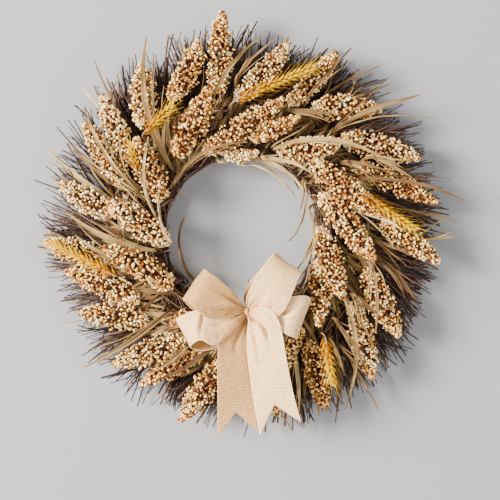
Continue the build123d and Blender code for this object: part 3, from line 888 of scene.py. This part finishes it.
def straws(bag, rng, hour):
    """Thin pale straws and broken stems tangled over the core, some straying past its rims."""
    points = 14
    share = np.linspace(0, 1, points)[None]
    count = STRAWS_PER_HOUR
    start = 30 * hour + rng.uniform(-15, 15, (count, 1))
    inner = rng.uniform(84, 150, (count, 1))
    radius = inner + rng.normal(22, 20, (count, 1)) * share
    turn = np.radians(start + rng.normal(12, 12, (count, 1)) * share)
    depth = core_rise(radius) + rng.uniform(-1, 7, (count, 1))
    depth = np.maximum(depth, rng.uniform(8, 14, (count, 1)))
    lines = on_ring(radius, turn, depth)
    lines += wander(rng, count, points, 1.8)
    radii = rng.uniform(0.35, 0.7, (count, 1)) * (1 - 0.4 * share)
    tubes(bag, lines, radii, 4, np.clip(rng.normal(0.5, 0.25, count), 0, 1))


def filler_blades(bag, rng, hour):
    """Broken blades lying low over the core between the heads."""
    share = np.linspace(0, 1, FILLER_SAMPLES)
    for _ in range(FILLER_BLADES_PER_HOUR):
        start = 30 * hour + rng.uniform(-15, 15)
        inner = rng.uniform(88, 132)
        radius = inner + rng.uniform(45, 85) * share
        turn = np.radians(start + rng.normal(14, 9) * share**0.9)
        rise = rng.uniform(1, 9)
        depth = core_rise(radius) * 0.92 + rise + rng.uniform(-2, 5) * share
        depth = np.maximum(depth, 9 + 6 * rng.random())
        line = on_ring(radius, turn, depth) + wander(rng, 1, FILLER_SAMPLES, 1.6)[0]
        half = rng.uniform(1.0, 3.2) * np.interp(share, [0, 0.25, 0.7, 1], [0.5, 1, 0.8, 0.12])
        tint = random_tint(rng, 0.38, 0.24)
        blade(bag, rng, line, half, tint, rng.uniform(0.1, 0.6), rng.normal(0, 0.5, 2), 0.35)


def husk_leaves(hour):
    rng = np.random.default_rng(500 + hour)
    node = f"husk_leaves_{hour:02d}_oclock"
    bag = Bag()
    for rings in rod_rings(node):
        husk_leaf(bag, rng, rings)
    filler_blades(bag, rng, hour)
    straws(bag, rng, hour)
    bag.build(f"dried_blades_{hour:02d}", ["leaf"], node)


# ---- wheat --------------------
WHEAT_CORE = 0.7  # the CAD kernel's share of an ear's width
SPIKELET_PITCH = 6.6
STRAW_POINTS = 18
AWN_POINTS = 6
WHEAT_ROWS = ((6, 0.0), (174, 0.5), (64, 0.35), (116, 0.85), (-60, 0.2), (-120, 0.7))  # turn and set-back

# How far each ear settles down among the heads, at its base and at its tip.
WHEAT_SETTLES = {
    "wheat_ear_top": (5, 12), "wheat_ear_right": (5, 12), "wheat_ear_lower_right": (0, 4),
    "wheat_ear_left": (7, 16), "wheat_ear_upper_left": (0, 0), "wheat_ear_small": (9, 11),
}


def wheat_ear(node, seed):
    """Bearded ear: ranks of pointed spikelets, each with a long fine awn, on a bent straw."""
    rng = np.random.default_rng(seed)
    bag = Bag()
    centres, halves = spine(rod_rings(node)[0])
    width = halves[2:].max() / WHEAT_CORE
    settle = WHEAT_SETTLES[node]
    base = centres[2] - FRONT * settle[0]
    tip = centres[-1] - FRONT * settle[1]
    axis = unit(tip - base)
    length = np.linalg.norm(tip - base)
    side, lift = frames_facing(axis)
    ranks = int(length / SPIKELET_PITCH)
    for k in range(ranks):
        share = (k + 0.3) / ranks
        full = width * (0.66 + 0.34 * math.sin(math.pi * min(1, share * 1.1 + 0.15)))
        for degrees, set_back in WHEAT_ROWS:
            turn = math.radians(degrees + rng.normal(0, 7))
            out = side * math.cos(turn) + lift * math.sin(turn)
            place = base + axis * (length * (share + set_back / ranks)) + out * full * 0.2
            tint = random_tint(rng, 0.12 + 0.8 * share, 0.13)
            spikelet(bag, rng, place, axis, out, full, tint, share)
    stalk = smooth_line([centres[0], base, base + axis * length * 0.5], STRAW_POINTS)
    tubes(bag, stalk[None], np.full((1, STRAW_POINTS), 0.75), 6, [0.25], slot=1)
    bag.build(f"bearded_{node}", ["wheat", "stalk"], node)


def spikelet(bag, rng, place, axis, out, full, tint, share):
    """A long husk that leans off the ear, a shorter one over it, and its awn."""
    lean = unit(axis + out * 0.80 + rng.normal(0, 0.05, 3))
    across = unit(np.cross(lean, out))
    for reach, length, girth, turn in ((3.6, 5.4, 0.19, 0.0), (3.0, 3.9, 0.14, 0.3)):
        way = unit(lean + across * turn * rng.choice([-1, 1]) + out * turn * 0.5)
        shade = random_tint(rng, tint, 0.12)
        sizes = np.array([length]), np.array([full * girth + 0.25])
        grains(bag, SEED, (place + way * reach)[None], way[None], *sizes, np.array([shade]), pinch=0.6)
    steps = np.linspace(0, 1, AWN_POINTS)
    heading = unit(axis + out * 0.35 + rng.normal(0, 0.05, 3))
    length = rng.uniform(7, 13) * (0.8 + 0.5 * share)
    awn = place + lean * 7.5 + heading * (steps * length)[:, None] + out * (1.6 * steps**2)[:, None]
    tubes(bag, awn[None], np.linspace(0.34, 0.12, AWN_POINTS)[None], 3, [min(0.75, tint * 0.6 + 0.2)])


# ---- bow --------------------
RIBBON_HALF_THICKNESS = 0.45
LOOP_ROWS, TAIL_ROWS, RIBBON_COLUMNS = 120, 110, 37
GATHER_REACH = 26.0  # how far from the pinch the cloth darkens with painted shade
PLEATS, PLEAT_HEIGHT, PLEAT_REACH = 3, 2.2, 16.0
FOLDS, FOLD_HEIGHT, FOLD_REACH = 1.35, 1.3, 40
SLACK_HEIGHT = 0.5
STITCH_PITCH = 2.7
FRAYED_THREADS = 46

# Each ribbon is a row of crossings, from the pinch outward: right, up and forward of the pinch, in
# millimetres, at one selvedge and then at the other.
BOW_LOOPS = {
    "bow_loop_upper_left": [
        ((-1, 2, 4), (-2, -1, 4)), ((-9, 14, 11), (-14, -3, 10)), ((-19, 25, 17), (-27, -7, 19)),
        ((-34, 38, 23), (-44, -5, 27)), ((-42, 43, 24), (-58, 7, 29)), ((-46, 46, 18), (-67, 13, 22)),
        ((-48, 47, 10), (-70, 15, 11)), ((-46, 46, 3), (-68, 10, 2)), ((-38, 39, 0), (-59, 2, -1)),
        ((-26, 27, 1), (-42, -2, -1)), ((-12, 14, 3), (-15, -2, 2)), ((-1, 1, 3), (-2, 0, 3)),
    ],
    "bow_loop_lower_left": [
        ((-1, 0, 1), (-1, -4, 2)), ((-18, 3, 4), (-15, -16, 6)), ((-34, 4, 10), (-28, -31, 11)),
        ((-46, 3, 14), (-38, -36, 17)), ((-60, 0, 13), (-50, -30, 20)), ((-72, -5, 7), (-59, -34, 14)),
        ((-78, -9, -2), (-63, -39, 4)), ((-72, -8, -9), (-59, -42, -5)), ((-58, -3, -11), (-47, -44, -9)),
        ((-38, 0, -10), (-33, -38, -9)), ((-18, 0, -6), (-18, -20, -6)), ((-1, 0, -3), (-1, -3, -3)),
    ],
    "bow_loop_upper_right": [
        ((0, 3, 4), (3, 0, 4)), ((0, 13, 9), (16, 4, 10)), ((4, 26, 14), (31, -4, 15)),
        ((11, 40, 18), (41, 3, 18)), ((21, 53, 20), (49, 20, 20)), ((28, 62, 17), (55, 34, 17)),
        ((31, 65, 9), (60, 43, 9)), ((28, 62, 1), (58, 40, 1)), ((18, 49, -2), (49, 20, -3)),
        ((4, 32, -1), (36, 2, -2)), ((-3, 16, 1), (15, 2, 1)), ((0, 3, 2), (2, 0, 2)),
    ],
    "bow_loop_lower_right": [
        ((2, 0, 0), (2, -4, 0)), ((22, 8, 3), (20, -8, 5)), ((40, 14, 8), (34, -18, 10)),
        ((54, 17, 12), (43, -24, 13)), ((65, 17, 8), (52, -28, 9)), ((70, 14, 0), (56, -30, 0)),
        ((67, 12, -8), (54, -29, -8)), ((54, 11, -12), (46, -24, -12)), ((38, 9, -10), (34, -18, -10)),
        ((20, 4, -7), (18, -8, -7)), ((2, 0, -3), (2, -3, -3)),
    ],
}
BOW_TAILS = {
    "bow_tail_left": [
        ((-2, -4, 2), (1, -4, 1)), ((-10, -15, 6), (1, -14, 2)), ((-19, -25, 9), (1.4, -26, 1)),
        ((-30, -35, 10), (1.8, -38, 0)), ((-32, -62, 9), (3, -62, -1)), ((-32, -100, 7), (7, -98, 0)),
        ((-32, -137, 3), (11.5, -132, 3)),
    ],
    "bow_tail_right": [
        ((0, -3, 6), (2, 2, 6)), ((1.6, -10, 8), (14, 5, 13)), ((1, -17, 7), (25, 2, 18)),
        ((0.5, -25, 6), (33, -8, 19)), ((0.6, -36, 5), (38, -24, 17)), ((2, -58, 4), (42, -46, 15)),
        ((7.5, -98, 4), (50, -88, 12)), ((15, -136, 6), (59, -121, 8)),
    ],
}
TWISTED_EDGE = [
    ((-1, -1, 5), (-1, -5, 5)), ((-9, -5, 10), (-6, -10, 9)), ((-18, -10, 14), (-12, -17, 12)),
    ((-26, -19, 14), (-20, -26, 12)), ((-31, -30, 11), (-27, -34, 9)), ((-32, -40, 6), (-29, -42, 5)),
]

# Creases pressed into the cloth: a line of points right and up of the pinch, its depth, and the swell
# beside it.
CREASES = {
    "bow_loop_upper_left": [(((-3, 1), (-20, 2), (-36, 2)), 1.5, 1.5),
                            (((-4, 4), (-18, 14), (-34, 24)), 1.2, -1.2)],
    "bow_loop_lower_left": [(((-47, 2), (-50, -12), (-52, -30)), 1.9, 1.7)],
    "bow_loop_upper_right": [(((1, 2), (9, 6), (17, 15)), 2.6, 1.8), (((7, 2), (22, 4), (31, 8)), 1.4, -1.4)],
    "bow_loop_lower_right": [(((40, -2), (50, 2), (58, 8)), 1.2, 1.0)],
    "bow_tail_left": [(((-2, -9), (-9, -22), (-14, -44)), 1.6, 1.2)],
    "bow_tail_right": [(((3, -7), (13, -12), (20, -20), (23, -30)), 4.0, 3.2),
                       (((4, -12), (9, -30), (14, -58)), 1.4, 1.0)],
}
CREASE_POINTS = 40
# The last spread sets how wide the painted shade in a crease valley is.
CREASE_SPREAD, SWELL_SPREAD, CREASE_SHADE_SPREAD = 5.0, 12.0, 3.0  # in square millimetres
SWELL_PLACE = 4.5
# How dark the painted shade at the bottom of a crease is.
CREASE_SHADE = 0.7
NOTCH_DEPTH = 14.5
INSIDE_SHADE_TONE = 0.0  # painted shade on the inside of a loop

# Painted light and shade on each length of ribbon, from shaded tan at 0 to lit cream at 1.
PAINTED_LIGHT_TONES = {
    "bow_loop_upper_left": 0.15, "bow_loop_lower_left": 0.75, "bow_loop_upper_right": 0.7,
    "bow_loop_lower_right": 1.0, "bow_tail_left": 0.2, "bow_tail_right": 0.95,
}


def pinch_point():
    """Where the bow is gathered: the tails' hinge point."""
    joint = next(j for j in frame["joints"] if j["name"] == "bow_tail_left_lift")
    return np.array(joint["pos_m"]) / MM


def from_pinch(offsets):
    offsets = np.asarray(offsets, float)
    return pinch_point() + np.stack([offsets[..., 0], -offsets[..., 2], offsets[..., 1]], -1)


def ribbon_grid(crossings, rows, columns, rng, folded):
    """Middle surface of a ribbon, pleated near the pinch, with its length and width at each row."""
    rails = smooth_line(from_pinch(crossings), rows)
    across = np.linspace(0, 1, columns)
    grid = rails[:, :1] * (1 - across)[None, :, None] + rails[:, 1:] * across[None, :, None]
    length = length_along(grid[:, columns // 2])
    gap = np.minimum(length, length[-1] - length) if folded else length
    normal = grid_normals(grid)
    width = np.linalg.norm(rails[:, 1] - rails[:, 0], axis=1)
    room = np.clip(width / 24, 0.15, 1)
    fade = np.exp(-gap / PLEAT_REACH)
    phase = rng.uniform(0, 6.28)
    pleat = PLEAT_HEIGHT * fade[:, None] * np.cos(across[None] * 2 * math.pi * PLEATS + phase)
    fold = FOLD_HEIGHT * np.exp(-gap / FOLD_REACH)[:, None]
    fold = fold * np.cos(across[None] * 2 * math.pi * FOLDS + phase * 2)
    slack = SLACK_HEIGHT * np.sin(length[:, None] / 11 + across[None] * 4 + phase)
    grid = grid + normal * ((pleat + fold + slack) * room[:, None])[..., None]
    return grid, length, width


def press_creases(grid, creases):
    """Presses each crease into the sheet, and says how much painted shade darkens the cloth: a crease's
    valley is darkened.
    """
    flat = (grid - pinch_point())[..., [0, 2]]
    shift = np.zeros(grid.shape[:2])
    crease_shade_factor = np.ones(grid.shape[:2])
    for line, depth, swell in creases:
        path = smooth_line(line, CREASE_POINTS)
        gap = flat[:, :, None] - path
        distance = np.linalg.norm(gap, axis=-1)
        nearest = distance.argmin(-1)
        heading = unit(np.gradient(path, axis=0))[nearest]
        offset = np.take_along_axis(gap, nearest[..., None, None], 2)[:, :, 0]
        side = heading[..., 1] * offset[..., 0] - heading[..., 0] * offset[..., 1]
        fade = np.sin(math.pi * np.clip(0.22 + 0.72 * nearest / (CREASE_POINTS - 1), 0, 1)) ** 0.7
        away = distance.min(-1)
        shift -= depth * fade * np.exp(-(away**2) / CREASE_SPREAD)
        shift += swell * fade * np.exp(-((away - SWELL_PLACE) ** 2) / SWELL_SPREAD) * (side > 0)
        # Painted shade along the crease's valley.
        crease_shade_factor *= 1 - CREASE_SHADE * min(1, depth / 2) * fade * np.exp(-(away**2) / CREASE_SHADE_SPREAD)
    return grid + FRONT * shift[..., None], crease_shade_factor


def grid_normals(grid):
    along = np.gradient(grid, axis=0)
    across = np.gradient(grid, axis=1)
    return unit(np.cross(along, across))


def grid_faces(rows, columns):
    i, j = np.meshgrid(np.arange(rows - 1), np.arange(columns - 1), indexing="ij")
    a = i * columns + j
    b = a + 1
    c = b + columns
    d = a + columns
    return np.stack([a, b, c, a, c, d], -1).reshape(-1, 3)


def rim_faces(rows, columns):
    """Walls that close a front sheet and the back sheet numbered after it."""
    rim = [(0, j) for j in range(columns)] + [(i, columns - 1) for i in range(1, rows)]
    rim += [(rows - 1, j) for j in range(columns - 2, -1, -1)] + [(i, 0) for i in range(rows - 2, 0, -1)]
    ids = [i * columns + j for i, j in rim]
    back = rows * columns
    faces = []
    for a, b in zip(ids, ids[1:] + ids[:1]):
        faces += [(a, a + back, b + back), (a, b + back, b)]
    return np.array(faces)


def add_sheet(bag, grid, length, width, tint, crease_shade_factor=1.0, folded=False):
    """Closed cloth sheet round a middle surface, with weave coordinates in millimetres."""
    rows, columns = grid.shape[:2]
    shift = grid_normals(grid) * RIBBON_HALF_THICKNESS
    front = grid_faces(rows, columns)
    back = front[:, ::-1] + rows * columns
    across = np.linspace(-0.5, 0.5, columns)[None] * np.maximum(width[:, None], 30)
    uv = np.stack([across, np.broadcast_to(length[:, None], across.shape)], -1)
    points = np.concatenate([(grid + shift).reshape(-1, 3), (grid - shift).reshape(-1, 3)])
    faces = np.concatenate([front, back, rim_faces(rows, columns)])
    # Painted shade: darker near the pinch and in crease valleys.
    gathered = np.minimum(1, np.linalg.norm(points - pinch_point(), axis=1) / GATHER_REACH)
    gathered *= np.tile(np.broadcast_to(crease_shade_factor, (rows, columns)).ravel(), 2)
    # Painted light and shade of this length of ribbon, carried as its tint.
    tints = np.full((2, rows * columns), tint)
    if folded:
        outward = ((grid - grid.mean((0, 1))) * shift).sum() > 0
        # The loop's inside gets painted shade.
        tints[int(outward)] = INSIDE_SHADE_TONE
    bag.add(points, faces, tints.ravel(), gathered, 0, np.concatenate([uv.reshape(-1, 2)] * 2))


def add_selvedge(bag, edge, tint):
    """Corded edge of the ribbon: a thin roll that swells at every stitch."""
    step = length_along(edge)
    count = max(8, int(step[-1] / 0.9))
    where = np.linspace(0, step[-1], count)
    line = np.stack([np.interp(where, step, edge[:, k]) for k in range(3)], -1)
    radii = 0.62 + 0.16 * np.cos(where * 2 * math.pi / STITCH_PITCH)
    tubes(bag, line[None], radii[None], 6, [tint], slot=1)
    # Painted shade near the pinch, as on the sheets.
    near = np.linalg.norm(bag.points[-1] - pinch_point(), axis=1)
    bag.alongs[-1] = np.minimum(1, near / GATHER_REACH)


def bow_loop(node, seed):
    """Loop of ribbon, creased only where it faces forward."""
    rng = np.random.default_rng(seed)
    bag = Bag()
    grid, length, width = ribbon_grid(BOW_LOOPS[node], LOOP_ROWS, RIBBON_COLUMNS, rng, folded=True)
    front = grid[:, :, 1] < grid[:, :, 1].mean()
    creased, crease_shade_factor = press_creases(grid, CREASES[node])
    grid = np.where(front[..., None], creased, grid)
    add_sheet(bag, grid, length, width, PAINTED_LIGHT_TONES[node], np.where(front, crease_shade_factor, 1.0), folded=True)
    for column in (0, -1):
        add_selvedge(bag, grid[4:-4, column], PAINTED_LIGHT_TONES[node])
    bag.build(f"burlap_{node}", ["burlap", "selvedge"], node)


def bow_tail(node, seed):
    """Hanging tail with a swallow-tail end and frayed threads."""
    rng = np.random.default_rng(seed)
    bag = Bag()
    grid, length, width = ribbon_grid(BOW_TAILS[node], TAIL_ROWS, RIBBON_COLUMNS, rng, folded=False)
    cut, crease_shade_factor = press_creases(notch(grid), CREASES[node])
    add_sheet(bag, cut, length, width, PAINTED_LIGHT_TONES[node], crease_shade_factor)
    for column in (0, -1):
        add_selvedge(bag, cut[4:, column], PAINTED_LIGHT_TONES[node])
    fray(bag, rng, cut)
    if node == "bow_tail_left":
        columns = 15
        edge, length, width = ribbon_grid(TWISTED_EDGE, 50, columns, rng, folded=False)
        crown = np.sin(np.linspace(0, math.pi, columns))[None] * np.minimum(1, length / 12)[:, None]
        add_sheet(bag, edge + FRONT * (2.2 * crown)[..., None], length, width, PAINTED_LIGHT_TONES[node])
    piece = bag.build(f"burlap_{node}", ["burlap", "selvedge"], node, body=None)
    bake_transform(piece)


def notch(grid):
    """Rows drawn up towards the pinch so that the last one is a V."""
    rows, columns = grid.shape[:2]
    across = np.abs(np.linspace(-1, 1, columns))
    lift = NOTCH_DEPTH * (1 - across)
    step = np.linalg.norm(grid[-1] - grid[0], axis=1)
    keep = 1 - lift / step
    where = np.linspace(0, 1, rows)[:, None] * keep[None] * (rows - 1)
    low = np.minimum(where.astype(int), rows - 2)
    part = (where - low)[..., None]
    column = np.arange(columns)[None]
    return grid[low, column] * (1 - part) + grid[low + 1, column] * part


def fray(bag, rng, grid):
    """Loose threads along the cut end."""
    count = FRAYED_THREADS
    points = 4
    column = rng.uniform(0, grid.shape[1] - 1.01, count)
    low = column.astype(int)
    part = (column - low)[:, None]
    start = grid[-1, low] * (1 - part) + grid[-1, low + 1] * part
    heading = unit(grid[-1, low] - grid[-3, low])
    heading = unit(heading + rng.normal(0, 0.3, heading.shape))
    reach = rng.uniform(0.8, 3.0, (count, 1, 1)) * np.linspace(0, 1, points)[None, :, None]
    lines = start[:, None] + heading[:, None] * reach
    tubes(bag, lines, np.full((count, points), 0.2), 3, [0.5] * count, slot=1)


def bow_wrap():
    """Gathered band that pinches the bow: a short pleated barrel of ribbon."""
    rng = np.random.default_rng(71)
    bag = Bag()
    rows, sides = 22, 40
    share = np.linspace(-1, 1, rows)
    turn = np.linspace(0, 2 * math.pi, sides, endpoint=False)
    swell = 3.4 * np.sqrt(np.maximum(0.04, 1 - 0.82 * share**2))
    fold = 1 + 0.16 * np.cos(turn * 7 + rng.uniform(0, 6)) + 0.05 * np.cos(turn * 13)
    radius = swell[:, None] * fold[None]
    depth = radius * np.sin(turn)[None] * 2.2 + 1.0
    height = np.broadcast_to((share * 5.2)[:, None], radius.shape)
    corners = np.stack([radius * np.cos(turn)[None] * 0.85, height, depth], -1)
    weave_across = np.broadcast_to((turn * 6)[None], radius.shape)
    weave_along = np.broadcast_to((share * 5)[:, None], radius.shape)
    uv = np.stack([weave_across, weave_along], -1)
    bag.add(from_pinch(corners), tube_faces(1, rows, sides)[:, ::-1], 0.5, 0.5, 0, uv)
    bag.build("burlap_centre_wrap", ["burlap"], "bow_centre_wrap")


# ---- carried-over wires --------------------
def paint_wires():
    """Gives the CAD nodes that stay their own wire finishes."""
    finishes = {
        "frame_inner_ring": "frame_wire", "frame_outer_ring": "frame_wire", "frame_cross_wires": "frame_wire",
        "binding_wire_turns": "binding_wire", "bow_tie_wire": "binding_wire", "hanging_loop": "hanger_wire",
    }
    for node, finish in finishes.items():
        mesh = frame["nodes"][node].data
        mesh.materials.clear()
        mesh.materials.append(MATERIALS[finish])


# ---- stage --------------------
CAMERA_DISTANCE = 1.6
CAMERA_OFFSET = (0.0093, -0.022)
CAMERA_LENS = 99.3
WALL_GAP = 0.002
FLOOR_DROP = 0.52
ROOM_REACH = 3.0
SKY_COLOUR, SKY_STRENGTH = (0.86, 0.89, 0.94, 1), 0.5

# Place, size, power and colour of each lamp; every lamp aims at the middle of the wreath.
LAMPS = {
    "key": ((-3.4, -2.7, 0.6), 1.55, 1010, (1.0, 0.95, 0.88)),
    "fill": ((1.2, -2.4, -0.5), 1.6, 75, (0.98, 0.98, 1.0)),
    "back_fill": ((0.6, 2.0, 1.4), 1.6, 75, (1, 1, 1)),
}


def plain_sheet(name, corners, material):
    mesh = bpy.data.meshes.new(name)
    mesh.from_pydata(corners, [], [(0, 1, 2, 3)])
    mesh.materials.append(material)
    in_scene(name, mesh)


def wall_material():
    """Matt pale wall that only the camera sees, and only from the front."""
    material, tree, shader = new_material("pale_wall", 0.95, 0.05)
    tone = ramp(tree, noise(tree, 2.5, 2), (0.3, (0.262, 0.266, 0.275)), (0.7, (0.275, 0.279, 0.288)))
    paint(tree, shader, tone)
    path = tree.nodes.new("ShaderNodeLightPath").outputs["Is Camera Ray"]
    behind = tree.nodes.new("ShaderNodeNewGeometry").outputs["Backfacing"]
    seen = arithmetic(tree, "MULTIPLY", path, arithmetic(tree, "SUBTRACT", 1.0, behind))
    clear = tree.nodes.new("ShaderNodeBsdfTransparent")
    mix = tree.nodes.new("ShaderNodeMixShader")
    tree.links.new(seen, mix.inputs[0])
    tree.links.new(clear.outputs[0], mix.inputs[1])
    tree.links.new(shader.outputs[0], mix.inputs[2])
    tree.links.new(mix.outputs[0], tree.nodes["Material Output"].inputs["Surface"])
    return material


def floor_material():
    material, tree, shader = new_material("pale_floor", 0.9, 0.1)
    paint(tree, shader, ramp(tree, noise(tree, 3, 2), (0.3, (0.62, 0.62, 0.62)), (0.7, (0.66, 0.66, 0.66))))
    return material


def lamp(name, place, size, power, colour):
    data = bpy.data.lights.new(name, "AREA")
    data.energy = power
    data.size = size
    data.color = colour
    light = in_scene(name, data)
    light.location = place
    light.rotation_euler = (-Vector(place)).to_track_quat("-Z", "Y").to_euler()


def stage():
    far, low, gap = ROOM_REACH, -FLOOR_DROP, WALL_GAP
    wall = [(-far, gap, low), (far, gap, low), (far, gap, far), (-far, gap, far)]
    floor = [(-far, -far, low), (far, -far, low), (far, far, low), (-far, far, low)]
    plain_sheet("wall", wall, wall_material())
    plain_sheet("floor", floor, floor_material())
    world = bpy.data.worlds.new("studio")
    world.use_nodes = True
    sky = world.node_tree.nodes["Background"]
    sky.inputs["Color"].default_value = SKY_COLOUR
    sky.inputs["Strength"].default_value = SKY_STRENGTH
    bpy.context.scene.world = world
    for name, settings in LAMPS.items():
        lamp(name, *settings)


def camera():
    data = bpy.data.cameras.new("camera")
    data.lens = CAMERA_LENS
    data.sensor_width = 36
    eye = in_scene("camera", data)
    eye.location = (CAMERA_OFFSET[0], -CAMERA_DISTANCE, CAMERA_OFFSET[1])
    eye.rotation_euler = (math.radians(90), 0, 0)
    bpy.context.scene.camera = eye


def main():
    for hour in HOURS:
        twig_bundle(hour)
        seed_heads(hour)
        husk_leaves(hour)
    core_ring()
    ears = sorted(node for node in frame["nodes"] if node.startswith("wheat_ear"))
    for k, node in enumerate(ears):
        wheat_ear(node, 700 + k)
    for k, node in enumerate(BOW_LOOPS):
        bow_loop(node, 40 + k)
    bow_tail("bow_tail_left", 51)
    bow_tail("bow_tail_right", 52)
    bow_wrap()
    paint_wires()
    stage()
    camera()


main()
